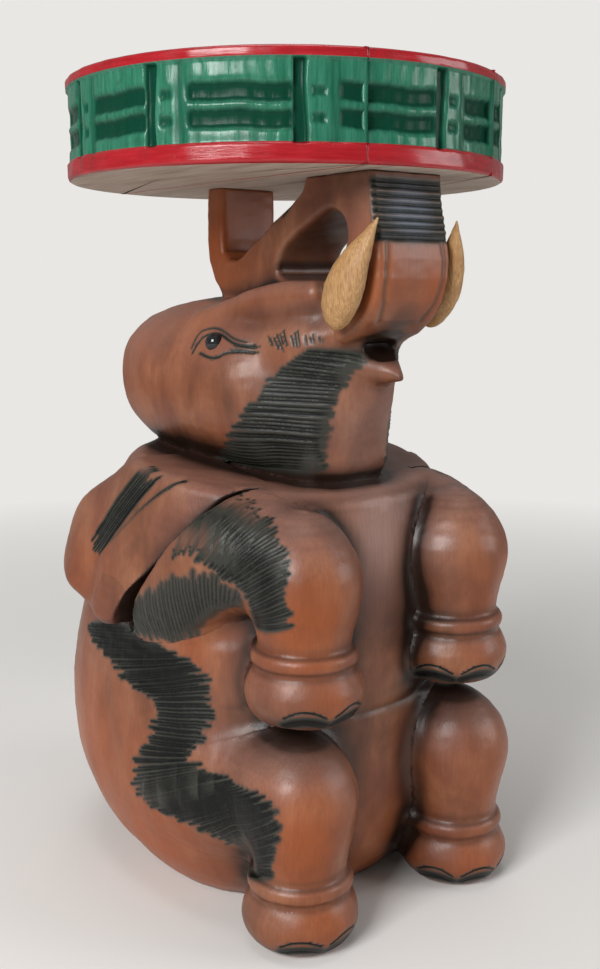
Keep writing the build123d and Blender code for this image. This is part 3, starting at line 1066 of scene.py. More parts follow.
    @staticmethod
    def split(faces: Array, middles: Array) -> Array:
        """Replace triangles by the smaller ones that their split edges make.

        Args:
            faces: vertex numbers of the triangles.
            middles: the vertex at the middle of each edge from corner i to i + 1, or -1.

        Returns:
            Vertex numbers of the new triangles.
        """
        count = (middles >= 0).sum(axis=1)
        parts = [faces[count == 0]]
        for amount in (1, 2):
            some, cut = faces[count == amount], middles[count == amount]
            lead = np.argmax((cut >= 0) if amount == 1 else (cut < 0), axis=1)
            order = (lead[:, None] + np.arange(3)) % 3
            (a, b, c), (ab, bc, ca) = (np.take_along_axis(x, order, 1).T for x in (some, cut))
            one, two = ((a, ab, c), (ab, b, c)), ((a, b, bc), (a, bc, ca), (ca, bc, c))
            parts += [np.stack(corners, axis=1) for corners in (one if amount == 1 else two)]
        (a, b, c), (ab, bc, ca) = faces[count == 3].T, middles[count == 3].T
        three = ((a, ab, ca), (ab, b, bc), (ca, bc, c), (ab, bc, ca))
        return np.vstack(parts + [np.stack(corners, axis=1) for corners in three])


# ---- cuts, marks and painted light --------------------------------------------------------


def uneven(points: Array, size: float, seed: int) -> Array:
    """Smooth random heights, about -1 to 1: the mean of seven sine waves in random ways.

    Args:
        points: where to measure.
        size: the distance from one rise to the next.
        seed: picks the directions and phases.

    Returns:
        One height for each point.
    """
    draw = np.random.default_rng(seed)
    ways = draw.normal(size=(7, 3))
    ways *= (2 * np.pi / size / np.linalg.norm(ways, axis=1) * draw.uniform(0.7, 1.4, 7))[:, None]
    return np.sin(points @ ways.T + draw.uniform(0.0, 2 * np.pi, 7)).mean(axis=1) * 1.9


@dataclass
class Cuts:
    """Straight knife or gouge cuts laid on a carved surface, with black rubbed over them.

    Each cut runs from a point on the first edge to one on the second, whose stations are
    matched. Its section is depth exp(-(d / width)^2), where d leaves out most of the
    distance along the normal, so a cut follows a curved surface. Tapered cuts run out to
    nothing at both ends. The black is full within rub of a cut, and a thinner stain
    reaches as far as stain and fills the space between cuts.
    """

    first: Stations
    second: Stations
    count: int
    depth: float = 1.1
    width: float = 0.9
    black: float = 1.0
    rub: float = 2.2
    stain: float = 3.4
    ragged: float = 0.10
    tapered: bool = True
    seed: int = 0

    REACH = 18.0
    STAINED = 0.66
    FOLLOWED = 0.993
    JITTER = 0.28
    # Widths of the black and of the stain, as shares of rub and stain: at a cut's ends, and
    # what the middle adds.
    SWELL = (0.45, 0.75)
    SPREAD = (0.5, 0.5)
    FALL = 1.5

    @cached_property
    def ends(self) -> tuple[Array, Array]:
        """Start and end of each cut, evenly spread along the band and left ragged."""
        draw = np.random.default_rng(self.seed + self.count)
        first, second = curve_through(self.first, 24), curve_through(self.second, 24)
        middle = (first + second) / 2
        gone = np.r_[0.0, np.cumsum(np.linalg.norm(np.diff(middle, axis=0), axis=1))]
        slack = draw.uniform(-self.JITTER, self.JITTER, self.count)
        place = (np.arange(self.count) + 0.5 + slack) / self.count
        share = np.interp(place * gone[-1], gone, np.arange(len(gone)))
        start, end = (
            np.column_stack([np.interp(share, np.arange(len(gone)), row) for row in line.T])
            for line in (first, second)
        )
        slip = draw.uniform(-self.ragged, self.ragged, (2, self.count, 1))
        run = end - start
        return start + run * slip[0], end + run * slip[1]

    def near(self, points: Array) -> Array:
        """Tell which points lie near enough to be cut or blackened."""
        both = np.vstack(self.ends)
        return within(points, both.min(axis=0) - self.REACH, both.max(axis=0) + self.REACH)

    def lay(self, points: Array, normals: Array) -> tuple[Array, Array]:
        """Work out the depth cut and the light left at points on the surface.

        Args:
            points: where to cut, with the right side laid over the left.
            normals: the surface's outward directions there.

        Returns:
            The depth at each point, and the share of it that is free of black.
        """
        depth, light = np.zeros(len(points)), np.ones(len(points))
        some = np.flatnonzero(self.near(points))
        where, facing = points[some], normals[some]
        cut, clear = np.zeros(len(some)), np.ones(len(some))
        for start, end in zip(*self.ends):
            held, away = beside(where, start, end)
            off = (away * facing).sum(axis=1)
            square = np.maximum((away**2).sum(axis=1) - self.FOLLOWED * off**2, 0.0)
            taper = np.sqrt(np.clip(4 * held * (1 - held), 0.0, 1.0)) if self.tapered else 1.0
            fits = np.abs(off) < self.REACH
            cut = np.maximum(cut, fits * taper * np.exp(-square / self.width**2))
            swell = self.rub * (self.SWELL[0] + self.SWELL[1] * taper)
            inked = np.exp(-((square / swell**2) ** self.FALL))
            if self.stain:
                spread = self.stain * (self.SPREAD[0] + self.SPREAD[1] * taper)
                stained = self.STAINED * np.exp(-((square / spread**2) ** self.FALL))
                inked = np.maximum(inked, stained)
            clear = np.minimum(clear, 1.0 - fits * inked)
        depth[some] = self.depth * cut
        light[some] = 1.0 - self.black * (1.0 - clear)
        return depth, light


@dataclass
class Line(Cuts):
    """One cut along a curve, told by its stations as the first edge."""

    second: Stations = ()
    count: int = 1
    depth: float = 0.7
    width: float = 0.7
    rub: float = 0.9
    stain: float = 0.0
    tapered: bool = False

    @cached_property
    def ends(self) -> tuple[Array, Array]:
        """Start and end of each short length of the curve."""
        points = curve_through(self.first, 4)
        return points[:-1], points[1:]


class Finish(Enum):
    """Names of material slots, one passed with each new piece; put does not read them."""

    WOOD = "carved_wood"
    TUSK = "tusk_wood"
    EYE = "eye_bead"
    SEAT = "seat_enamel"


@dataclass
class Shell:
    """A finished mesh: vertices in millimetres, faces, and what its materials read.

    Its four shares at each vertex are, on the carved wood, black, painted shade, worn orange and
    painted light; kind gives the material of each face, and flat tells which faces are shaded
    flat.
    """

    vertices: Array
    faces: list[list[int]]
    marks_and_painted_light: Array | None = None
    kind: Array | None = None
    flat: Array | None = None

    def put(
        self, name: str, node: str, slot: Finish, materials: Sequence[Material], sign: int = 1
    ) -> None:
        """Put the mesh into the scene as a piece that rides on the figure's body.

        Args:
            name: the piece's name.
            node: the CAD node that it stands for.
            slot: not used.
            materials: its materials, in slot order.
            sign: -1 for the mirror image, whose faces are turned round, or 1.
        """
        faces = self.faces if sign > 0 else [face[::-1] for face in self.faces]
        mesh = bpy.data.meshes.new(name)
        mesh.from_pydata((self.vertices * (sign, 1, 1) * MILLIMETRE).tolist(), [], faces)
        for material in materials:
            mesh.materials.append(material)
        if self.kind is not None:
            mesh.polygons.foreach_set("material_index", self.kind.astype(np.int32))
        if self.marks_and_painted_light is not None:
            layer = mesh.attributes.new("marks_and_painted_light", "FLOAT_COLOR", "POINT")
            layer.data.foreach_set("color", self.marks_and_painted_light.astype(np.float32).ravel())
        smooth = np.ones(len(faces), dtype=bool) if self.flat is None else ~self.flat
        mesh.polygons.foreach_set("use_smooth", smooth)
        mesh.update()
        piece = bpy.data.objects.new(name, mesh)
        bpy.context.scene.collection.objects.link(piece)
        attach(piece, "root")
        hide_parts(node)
        LOG.info("%s: %d vertices, %d faces", name, len(self.vertices), len(faces))

    def put_pair(self, name: str, node: str, slot: Finish, material: Material) -> None:
        """Put the left piece and its mirror image, as put does."""
        for side, sign in (("left", 1), ("right", -1)):
            self.put(f"{side}_{name}", f"{side}_{node}", slot, [material], sign)


@dataclass
class CarvedPiece:
    """One carved block of the elephant: its volume, the room it is looked for in, its cuts.

    Every piece has the same spots, so that the wood runs on across a crease. Warm spots are worn
    to orange, shade spots hold painted shade and sheen spots hold a painted highlight.
    """

    member: str
    low: Place
    high: Place
    step: float
    cuts: Sequence[Cuts] = ()
    fine: float = 1.1

    PAIRED = {"arm": "front_leg", "thigh": "rear_leg", "ear": "ear"}
    # Painted shade in hollows: how far off the skin a hollow is felt for, and the painted shade
    # where all of it is filled.
    PAINTED_HOLLOW_SHADE = ((4.0, 0.42), (10.0, 0.40), (24.0, 0.36))
    # Depth, pitch and seed of the facets that the tools left.
    FACETS = ((0.28, 26.0, 3), (0.10, 9.0, 4))
    # Share of painted light where the skin faces straight up.
    PAINTED_TOP_LIGHT = 0.45
    CLEAR = 0.9

    def lay(self, points: Array, normals: Array) -> tuple[Array, Array]:
        """Lay every band of cuts on the surface.

        Args:
            points: where to cut.
            normals: the skin's outward directions there.

        Returns:
            The depth cut at each point, and the share of it that is free of black.
        """
        side, facing = folded(points), normals.copy()
        facing[:, 0] *= np.where(points[:, 0] < 0, -1, 1)
        depth, light = np.zeros(len(points)), np.ones(len(points))
        for cut in self.cuts:
            cut_depth, cut_light = cut.lay(side, facing)
            depth, light = np.maximum(depth, cut_depth), np.minimum(light, cut_light)
        return depth, light

    def surface(self, figure: Figure) -> CarvedMesh:
        """Mesh the piece and split its edges finely where it is cut.

        Args:
            figure: the elephant's volumes.

        Returns:
            The settled mesh.
        """
        mesh = CarvedMesh(
            lambda points: figure.skin_and_wall(points, self.member), self.low, self.high, self.step
        )
        mesh.build()

        def target(points: Array) -> Array:
            """Allow short edges beside cuts and any edge elsewhere.

            Args:
                points: where to measure.

            Returns:
                The longest edge allowed at each point.
            """
            longest, side = np.full(len(points), np.inf), folded(points)
            some = np.flatnonzero(np.any([cut.near(side) for cut in self.cuts], axis=0))
            light = self.lay(points[some], mesh.normals(points[some]))[1]
            longest[some] = np.where(light < self.CLEAR, self.fine, np.inf)
            return longest

        if self.cuts:
            mesh.refine(target, 2)
        return mesh

    @staticmethod
    def spots(side: Array, spots: Stations) -> Array:
        """Share of the strongest spot at each point: full exp(-(d / radius)^2).

        Args:
            side: points with the right side laid over the left.
            spots: rows of x, y, z, radius and full share.

        Returns:
            One share for each point.
        """
        share = np.zeros(len(side))
        for *middle, radius, full in spots:
            square = ((side - middle) ** 2).sum(axis=1)
            share = np.maximum(share, full * np.exp(-square / radius**2))
        return share

    def shell(self, figure: Figure) -> Shell:
        """Mesh the piece, press the cuts and facets into it, and work out its marks and painted
        light.

        The shares are of black, of painted shade in hollows and on the shade spots, of warm wear
        and of painted light, which grows where the skin faces up and on the sheen spots.

        Args:
            figure: the elephant's volumes.

        Returns:
            The piece's mesh.
        """
        mesh = self.surface(figure)
        points, normals = mesh.vertices, mesh.normals(mesh.vertices)
        side, (depth, light) = folded(points), self.lay(points, normals)
        for deep, pitch, seed in self.FACETS:
            depth = depth + deep * (1 + uneven(points, pitch, seed))
        # Painted shade: the shade spots, and more below where the skin is hollow.
        hollow = self.spots(side, PAINTED_SHADE_SPOTS)
        for reach, share in self.PAINTED_HOLLOW_SHADE:
            probe = points + normals * reach
            free = figure.skin(probe, figure.members(probe))
            hollow += share * np.clip(1.0 - free / reach, 0.0, 1.0)
        # Painted light: lighter where the skin faces up, and on the sheen spots.
        painted_light = np.clip(self.PAINTED_TOP_LIGHT * normals[:, 2], 0.0, 1.0) + self.spots(side, PAINTED_SHEEN_SPOTS)
        shares = np.column_stack([1.0 - light, hollow, self.spots(side, WARM_SPOTS), painted_light])
        vertices = points - normals * (depth * mesh.on[:, 0])[:, None]
        flat = mesh.on[mesh.faces, 1].all(axis=1)
        return Shell(vertices, mesh.faces.tolist(), np.clip(shares, 0.0, 1.0), flat=flat)

    def make(self, figure: Figure, material: Material) -> None:
        """Place the piece, and its mirror image where it has one.

        Args:
            figure: the elephant's volumes.
            material: the carved wood.
        """
        shell, node = self.shell(figure), self.PAIRED.get(self.member)
        if node:
            shell.put_pair(f"carved_{node}", node, Finish.WOOD, material)
        else:
            shell.put(f"carved_{self.member}", self.member, Finish.WOOD, [material])


def toenails(x: float, y: float, sole: float) -> list[Cuts]:
    """Blackened crescents at the sole's edge, three to a foot, with a cut line over each.

    Args:
        x: the leg's axis.
        y: the leg's axis.
        sole: height of the underside.

    Returns:
        The cuts for one left foot.
    """
    cuts: list[Cuts] = []
    share = np.linspace(-1.0, 1.0, 5)
    for middle in (-156.0, -104.0, -52.0):
        turn = np.radians(middle + 21.0 * share)
        way = np.column_stack([np.cos(turn), np.sin(turn)])
        for rise, arch, radius, rub, depth in TOENAIL_LINES:
            height = sole + rise + arch * (1 - share**2)
            path = np.column_stack([way * radius + (x, y), height])
            cuts.append(Line(path, rub=rub, depth=depth))
    return cuts


# ---- grids --------------------------------------------------------------------------------


def closed_grid(rings: Array) -> tuple[Array, list[list[int]]]:
    """Join a stack of rings by quads, and close it with a pole at each end.

    Args:
        rings: points as rows, columns and x, y, z, turning anticlockwise as rows rise.

    Returns:
        The vertices, and the faces as lists of vertex numbers.
    """
    rows, columns = rings.shape[:2]
    vertices = np.vstack([rings.reshape(-1, 3), rings[0].mean(axis=0), rings[-1].mean(axis=0)])
    turn = np.arange(columns)
    after, pole = (turn + 1) % columns, np.full(columns, rows * columns)
    start = np.arange(rows - 1)[:, None] * columns
    here, beyond = start + turn, start + after
    quads = np.stack([here, beyond, beyond + columns, here + columns], axis=2)
    last = (rows - 1) * columns
    caps = np.vstack([
        np.column_stack([pole, after, turn]), np.column_stack([pole + 1, last + turn, last + after])
    ])
    return vertices, quads.reshape(-1, 4).tolist() + caps.tolist()


@dataclass
class Tusks:
    """A pair of pale leaf-shaped tusks that stand in grooves beside the muzzle."""

    path: Stations = (
        (38, -92.5, 372.5, 2), (38.3, -94, 374.5, 6.5), (38.7, -96.5, 379, 10.3),
        (39.2, -99.5, 385.5, 12.8), (39.6, -103.5, 392.5, 13.6), (39.5, -108, 401, 12.8),
        (38.5, -113.5, 411, 9.8), (36, -118, 420, 6.3), (33.5, -121.5, 428, 2.9),
        (31.5, -124, 434, 0.6),
    )
    thinness: float = 0.62
    bulge_power: float = 0.9
    roughness: float = 0.25
    rasp_pitch: float = 7.0
    sides: int = 40
    spans: int = 9

    def rings(self) -> Array:
        """Carry an oval along the path: centre + r (cos a in X, sin a across the path).

        Returns:
            Points as rows, columns and x, y, z.
        """
        nodes = curve_through(self.path, self.spans)
        centre, radius = nodes[:, None, :3], nodes[:, 3:, None]
        along = np.gradient(nodes[:, :3], axis=0)
        along /= np.linalg.norm(along, axis=1)[:, None]
        across = np.cross(along, [1.0, 0.0, 0.0])
        across /= np.linalg.norm(across, axis=1)[:, None]
        out = np.cross(across, along)
        angle = np.linspace(0, 2 * np.pi, self.sides, endpoint=False)[:, None]
        bulge = np.sign(np.cos(angle)) * np.abs(np.cos(angle)) ** self.bulge_power
        ovals = self.thinness * bulge * out[:, None] + np.sin(angle) * across[:, None]
        rings = centre + radius * ovals
        rough = uneven(rings.reshape(-1, 3), self.rasp_pitch, 11).reshape(*rings.shape[:2], 1)
        return rings + self.roughness * rough * (rings - centre) / radius

    def make(self, material: Material) -> None:
        """Place the left tusk and its mirror image."""
        Shell(*closed_grid(self.rings())).put_pair("carved_tusk", "tusk", Finish.TUSK, material)


@dataclass
class Eyes:
    """A pair of glossy beads set in the head, by a shift from the middles of the CAD beads."""

    radius: float = 6.4
    solid_radius: float = 6.0
    shift: Place = (1.0, 10.5, 0.0)
    columns: int = 32
    rows: int = 24

    def rings(self) -> Array:
        """A sphere by latitude and longitude, from the left CAD bead's outer corner.

        Returns:
            Points as rows, columns and x, y, z.
        """
        low, high = (np.array(corner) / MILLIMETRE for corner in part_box("left_eye"))
        inward = self.solid_radius * np.array([-1.0, 1.0, -1.0])
        centre = np.array([high[0], low[1], high[2]]) + inward + self.shift
        latitude = np.linspace(-0.49 * np.pi, 0.49 * np.pi, self.rows)[:, None]
        turn = np.linspace(0, 2 * np.pi, self.columns, endpoint=False)[None, :]
        flat, up = np.cos(latitude), np.sin(latitude) + 0 * turn
        shape = np.stack([flat * np.cos(turn), flat * np.sin(turn), up], axis=-1)
        return centre + self.radius * shape

    def make(self, material: Material) -> None:
        """Place the left bead and its mirror image."""
        Shell(*closed_grid(self.rings())).put_pair("eye_bead", "eye", Finish.EYE, material)


def between(value: Array, low: Array | float, high: Array | float, soft: float) -> Array:
    """Share inside low to high, with soft sides by tanh."""
    return 0.5 * (np.tanh((value - low) / soft) - np.tanh((value - high) / soft))


@dataclass
class Seat:
    """The round seat: three glued boards with a carved green band between red rims."""

    radius: float = 140.0
    bottom: float = 461.0
    thickness: float = 60.5
    seams: tuple[float, float] = (-47.0, 56.0)
    seam_gap: float = 0.35
    band: tuple[float, float] = (10.5, 54.1)
    grooves: tuple[tuple[float, float], ...] = ((19.2, 27.2), (33.2, 41.2))
    recess: float = 1.5
    groove_depth: float = 2.8
    panels: int = 11
    panel_start: float = -126.2
    panel_waver: float = 3.5
    gouge_width: float = 7.0
    block: tuple[float, float] = (9.5, 19.5)
    hollow: tuple[float, float] = (20.5, 27.0)
    edge_round: float = 2.2
    seam_round: float = 0.7
    seam_steps: int = 48
    unevenness: float = 0.22
    uneven_pitch: float = 15.0
    full_cut: float = 4.5
    column_pitch: float = 0.85
    row_pitch: float = 0.8

    def carving(self, angle: Array, height: Array) -> Array:
        """Depth cut into the edge at an angle and height above the underside.

        The band is sunk by the recess. Each panel starts with an upright gouge, then a
        block with short notches, then a shallow hollow, then a long run with two level
        grooves whose edges waver. The panels differ in length by panel_waver sin(pi k / 3).

        Args:
            angle: radians round the axis.
            height: millimetres above the underside.

        Returns:
            The depth in millimetres.
        """
        number = np.arange(self.panels)
        starts = self.panel_start + 360 / self.panels * number
        starts = starts + self.panel_waver * np.sin(np.pi * number / 3)
        turn = np.mod(np.degrees(angle) - self.panel_start, 360.0) + self.panel_start
        panel = np.searchsorted(starts, turn, side="right") - 1
        ends = np.append(starts[1:], self.panel_start + 360.0)
        along = np.radians(turn - starts[panel]) * self.radius
        left = np.radians(ends[panel] - turn) * self.radius
        waver = 0.9 * np.sin(panel * 2.4 + along / 14.0) + 0.5 * np.sin(panel * 5.1 - along / 5.0)

        inside = between(height, self.band[0], self.band[1], 0.45)
        wide = self.gouge_width + 0.8 * np.sin(panel * 2.7 + height / 9.0)
        gouge = between(along, 0.0, wide, 0.8)
        hollow = between(along, *self.hollow, 1.2)
        run = between(along, self.hollow[1] + np.sin(panel * 3.3), 1e3, 1.6)
        run = run * between(left, 0.4, 1e3, 0.9)
        notch = between(along, self.block[0] + 1.0, self.block[1] - 1.5, 0.8)
        depth = self.recess + 1.1 * self.groove_depth * gouge + 0.9 * hollow
        for low, high in self.grooves:
            level = between(height, low - 0.6 + waver * 0.6, high + 0.6 + waver * 0.7, 1.5)
            small = between(height, low + 1.6, high - 1.2, 1.1)
            depth = depth + self.groove_depth * (level * run + 0.6 * small * notch)
        fluted = 0.12 * np.sin(along * 2 * np.pi / 9.0 + 2.0 * np.sin(height / 16.0 + panel))
        return inside * (depth + fluted)

    def perimeter(self, low: float, high: float) -> Array:
        """Points round a board between two seams, anticlockwise.

        Args:
            low: the board's least x, or the seat's own edge.
            high: its greatest x, or the seat's own edge.

        Returns:
            Rows of x, y, the direction out of the board in x and y, and 1 where the edge is
            the seat's own or 0 along a seam.
        """

        def arc(start: float, end: float) -> Array:
            """Part of the seat's own edge.

            Args:
                start: the angle where it starts, in radians.
                end: the angle where it ends.

            Returns:
                Rows as perimeter returns them.
            """
            columns = int(self.radius * (end - start) / self.column_pitch)
            turn = np.linspace(start, end, max(columns, 2))
            way = np.column_stack([np.cos(turn), np.sin(turn)])
            return np.column_stack([self.radius * way, way, np.ones(len(turn))])

        def seam(x: float, way: float) -> Array:
            """A straight side at x that faces way.

            Args:
                x: where the side stands.
                way: 1 where it faces +X and -1 where it faces -X.

            Returns:
                Rows as perimeter returns them.
            """
            half = np.sqrt(self.radius**2 - x**2)
            y = np.linspace(-half, half, self.seam_steps) * way
            return np.column_stack([np.full(len(y), x), y, np.tile([way, 0.0, 0.0], (len(y), 1))])

        near, far = np.arccos([high / self.radius, low / self.radius])
        parts = [seam(high, 1.0)] if high < self.radius else []
        if low > -self.radius:
            parts += [arc(near, far), seam(low, -1.0), arc(2 * np.pi - far, 2 * np.pi - near)]
        else:
            parts += [arc(near, 2 * np.pi - near)]
        return np.vstack(parts)

    def board(self, low: float, high: float) -> Shell:
        """Carry a board's perimeter up its edge and in over both faces.

        Args:
            low: the board's least x.
            high: its greatest x.

        Returns:
            The board's mesh, whose faces are band, rim, underside and top in that order of
            materials, and whose finish holds the depth cut as its first share.
        """
        outline = self.perimeter(low, high)
        points, ways, own = outline[:, :2], outline[:, 2:4], outline[:, 4]
        middle = np.array([(low + high) / 2, 0.0])
        angle = np.arctan2(points[:, 1], points[:, 0])
        heights = np.linspace(0.0, self.thickness, int(self.thickness / self.row_pitch) + 1)
        turn, level = np.meshgrid(angle, heights)
        rounding = np.where(own > 0, self.edge_round, self.seam_round)
        lean = np.clip(1 - np.minimum(level, self.thickness - level) / rounding, 0, 1)
        inset = rounding * (1 - np.sqrt(1 - lean**2 * 0.96))
        carved = own * self.carving(turn, level)
        inset = inset + carved + (1 - own) * self.seam_gap / 2
        where = np.stack([self.radius * np.cos(turn), self.radius * np.sin(turn), level], axis=-1)
        rough = uneven(where.reshape(-1, 3), self.uneven_pitch, 7).reshape(level.shape)
        inset = inset + own * self.unevenness * (1 + rough)
        rings = np.dstack([points - ways * inset[..., None], level])
        shares = np.array([0.05, 0.2, 0.4, 0.6, 0.8, 0.93])[:, None, None]
        under, over = rings[:1].repeat(len(shares), axis=0), rings[-1:].repeat(len(shares), axis=0)
        under[..., :2] = middle + shares * (under[..., :2] - middle)
        over[..., :2] = middle + shares[::-1] * (over[..., :2] - middle)
        vertices, faces = closed_grid(np.concatenate([under, rings, over]))
        vertices[:, 2] += self.bottom
        plain = np.zeros(under.shape[:2])
        cut = np.append(np.concatenate([plain, carved, plain]), [0.0, 0.0]) / self.full_cut
        row = np.arange(len(shares) * 2 + len(rings) - 1) - len(shares)
        height = row * self.thickness / (len(rings) - 1)
        kind = np.where((height > self.band[0]) & (height < self.band[1]), 0, 1)
        kind = np.where(row < 0, 2, np.where(row >= len(rings) - 1, 3, kind))
        kind = np.append(kind, [2, 3]).repeat(len(points))
        marks_and_painted_light = np.column_stack([cut, np.zeros((len(cut), 3))])
        return Shell(vertices, faces, marks_and_painted_light, kind)

    def make(self, materials: Sequence[Material]) -> None:
        """Place the three boards.

        Args:
            materials: green band, red rim, bare underside and top, in that order.
        """
        edges = (-self.radius, *self.seams, self.radius)
        for name, low, high in zip(("right", "middle", "left"), edges, edges[1:]):
            shell = self.board(low, high)
            shell.put(f"carved_seat_board_{name}", f"seat_board_{name}", Finish.SEAT, materials)


# ---- finishes -----------------------------------------------------------------------------


def linear(colour: str) -> tuple[float, ...]:
    """Turn an sRGB hex colour into linear red, green, blue and alpha.

    Args:
        colour: six hex digits after a number sign.

    Returns:
        Four numbers from 0 to 1.
    """
    parts = np.array([int(colour[i:i + 2], 16) for i in (1, 3, 5)]) / 255
    values = np.where(parts <= 0.04045, parts / 12.92, ((parts + 0.055) / 1.055) ** 2.4)
    return (*values.tolist(), 1.0)


def fill(tree: Tree, node: bpy.types.Node, inputs: dict | Sequence) -> None:
    """Give a node's inputs their values and links.

    Args:
        tree: the node tree that holds the node.
        node: the node to fill.
        inputs: for each input, by name or number or in order, a socket to link, a number or
            an sRGB hex colour.
    """
    places = inputs.items() if isinstance(inputs, dict) else enumerate(inputs)
    for place, value in places:
        if isinstance(value, Socket):
            tree.links.new(value, node.inputs[place])
        else:
            constant = linear(value) if isinstance(value, str) else value
            node.inputs[place].default_value = constant


def add_node(
    tree: Tree, kind: str, inputs: dict | Sequence = (), out: int | str = 0, **settings: object
) -> Socket:
    """Add a shader node with its settings and inputs.

    Args:
        tree: the material's or world's node tree.
        kind: the node's type name after ShaderNode.
        inputs: what fill takes.
        out: name or number of the output to return.
        **settings: properties to set on the node.

    Returns:
        The node's output.
    """
    node = tree.nodes.new(f"ShaderNode{kind}")
    for key, value in settings.items():
        setattr(node, key, value)
    fill(tree, node, inputs)
    return node.outputs[out]


class Paint:
    """A material under way: its node tree, its shader, and patterns and coats of colour."""

    def __init__(self, name: str) -> None:
        """Start a node material with its Principled shader.

        Args:
            name: the material's name.
        """
        self.material = bpy.data.materials.new(name)
        self.material.use_nodes = True
        self.tree = self.material.node_tree
        self.shader = self.tree.nodes["Principled BSDF"]

    def shares(self) -> tuple[Socket, ...]:
        """The four shares that the mesh's finish holds at each vertex.

        Returns:
            One socket for each share.
        """
        colour = add_node(self.tree, "Attribute", out="Color", attribute_name="marks_and_painted_light")
        parts = add_node(self.tree, "SeparateColor", [colour]).node.outputs
        return parts[0], parts[1], parts[2], colour.node.outputs["Alpha"]

    def pattern(
        self, pitch: Place, detail: float = 4.0, rough: float = 0.55, twist: float = 0.0
    ) -> Socket:
        """Noise whose features are pitch millimetres across in X, Y and Z of the object.

        Args:
            pitch: the size of a feature each way.
            detail: how many finer layers it has.
            rough: how strong the finer layers are.
            twist: how far it is pulled out of shape.

        Returns:
            Its share, about 0.2 to 0.8.
        """
        size = [1.0 / (step * MILLIMETRE) for step in pitch]
        place = add_node(self.tree, "TexCoord", out="Object")
        turned = add_node(self.tree, "Mapping", {"Vector": place, "Scale": size})
        noise = {"Scale": 1.0, "Detail": detail, "Roughness": rough, "Distortion": twist}
        return add_node(self.tree, "TexNoise", {"Vector": turned, **noise})

    def span(
        self, share: Socket, low: float, high: float, first: float = 0.0, last: float | Socket = 1.0
    ) -> Socket:
        """Carry a share from low..high to first..last, held at both ends."""
        return add_node(self.tree, "MapRange", (share, low, high, first, last))

    def over(
        self, base: Socket | str, colour: Socket | str, share: Socket,
        low: float = 0.0, high: float = 1.0, full: float = 1.0,
    ) -> Socket:
        """Lay a coat of colour over a base.

        Args:
            base: the colour below.
            colour: the coat's colour.
            share: says where the coat lies.
            low: the share at which the coat starts.
            high: the share at which it is full.
            full: how far the full coat hides the base.

        Returns:
            The colour seen.
        """
        inputs = {0: self.span(share, low, high, 0.0, full), 6: base, 7: colour}
        return add_node(self.tree, "Mix", inputs, 2, data_type="RGBA")

    def done(self, base: Socket, relief: Socket | None, depth: float, **inputs: object) -> Material:
        """Connect the shader.

        Args:
            base: its colour.
            relief: heights from 0 to 1 that stand out by depth, or None.
            depth: the full height in millimetres.
            **inputs: the shader's other inputs, with _ for a space.

        Returns:
            The finished material.
        """
        named = {key.replace("_", " "): value for key, value in inputs.items()}
        if relief:
            heights = {"Height": relief, "Distance": depth * MILLIMETRE, "Strength": 1.0}
            named["Normal"] = add_node(self.tree, "Bump", heights)
        fill(self.tree, self.shader, {"Base Color": base, **named})
        return self.material


@dataclass(frozen=True)
class WaxedWood:
    """Carved hardwood, stained red-brown, rubbed with black in the cuts, and waxed.

    The wax gives a satin sheen that is duller over the black; the stain is worn to orange on
    the knees and feet. Painted light makes it greyer on top and on the sheen spots, a painted
    bluish reflection lies on the thin black there, and painted shade darkens the creases.
    """

    dark: str = "#5c3623"
    middle: str = "#7a4a32"
    light: str = "#936043"
    red: str = "#6c3728"
    # Painted highlight: the colour laid where the skin faces up and on the sheen spots.
    painted_highlight: str = "#947268"
    orange: str = "#9c4a12"
    # Painted shade: the colour laid in hollows and on the shade spots.
    crease: str = "#180d08"
    stain: str = "#32322d"
    # Painted reflection: the bluish colour that the thin black turns to under strong painted light.
    sheen: str = "#5d6570"
    black: str = "#0b0d0c"
    grain: float = 1.6
    patch: float = 48.0

    def make(self) -> Material:
        """Build the material.

        Returns:
            The finished material.
        """
        paint = Paint("waxed_stained_hardwood")
        # Shares of black ink, painted shade, worn orange and painted light.
        black, hollow, warm, painted_light = paint.shares()
        fibre = paint.pattern((self.grain, self.grain, 30.0), 5.0, 0.6)
        cloud = paint.pattern((26.0, 26.0, 44.0), twist=0.3)
        stain = paint.pattern((self.patch,) * 3, 3.0)
        worn = paint.pattern((self.patch * 0.8,) * 3, 3.0, 0.5)
        rubbed = paint.pattern((3.0,) * 3, rough=0.7)
        pores = paint.pattern((0.8, 0.8, 9.0), 3.0, 0.6)
        wear = paint.span(warm, 0.0, 1.0, 0.0, paint.span(worn, 0.3, 0.6, 0.6, 1.0))
        ink = paint.span(black, 0.0, 1.0, 0.0, paint.span(rubbed, 0.2, 0.5, 0.85, 1.0))
        base = paint.over(self.dark, self.middle, cloud, 0.32, 0.50)
        base = paint.over(base, self.light, cloud, 0.50, 0.68)
        base = paint.over(base, self.red, stain, 0.45, 0.7, 0.6)
        # Painted highlight on up-facing skin and the sheen spots.
        base = paint.over(base, self.painted_highlight, painted_light)
        base = paint.over(base, self.orange, wear)
        base = paint.over(base, self.dark, fibre, 0.42, 0.75, 0.28)
        # Painted shade in the hollows and on the shade spots.
        base = paint.over(base, self.crease, hollow, 0.10, 0.62, 0.95)
        # Painted reflection: the thin black turns bluish where the painted light is strong.
        thin = paint.over(self.stain, self.sheen, painted_light, 0.62, 0.95)
        base = paint.over(base, thin, ink, 0.0, 0.58)
        base = paint.over(base, self.black, ink, 0.62, 0.95)
        return paint.done(
            base, pores, 0.16, Roughness=paint.span(stain, 0.3, 0.7, 0.34, 0.44),
            Specular_IOR_Level=paint.span(ink, 0.2, 0.7, 0.36, 0.2),
            Coat_Weight=paint.span(ink, 0.2, 0.7, 0.08, 0.0), Coat_Roughness=0.25,
        )


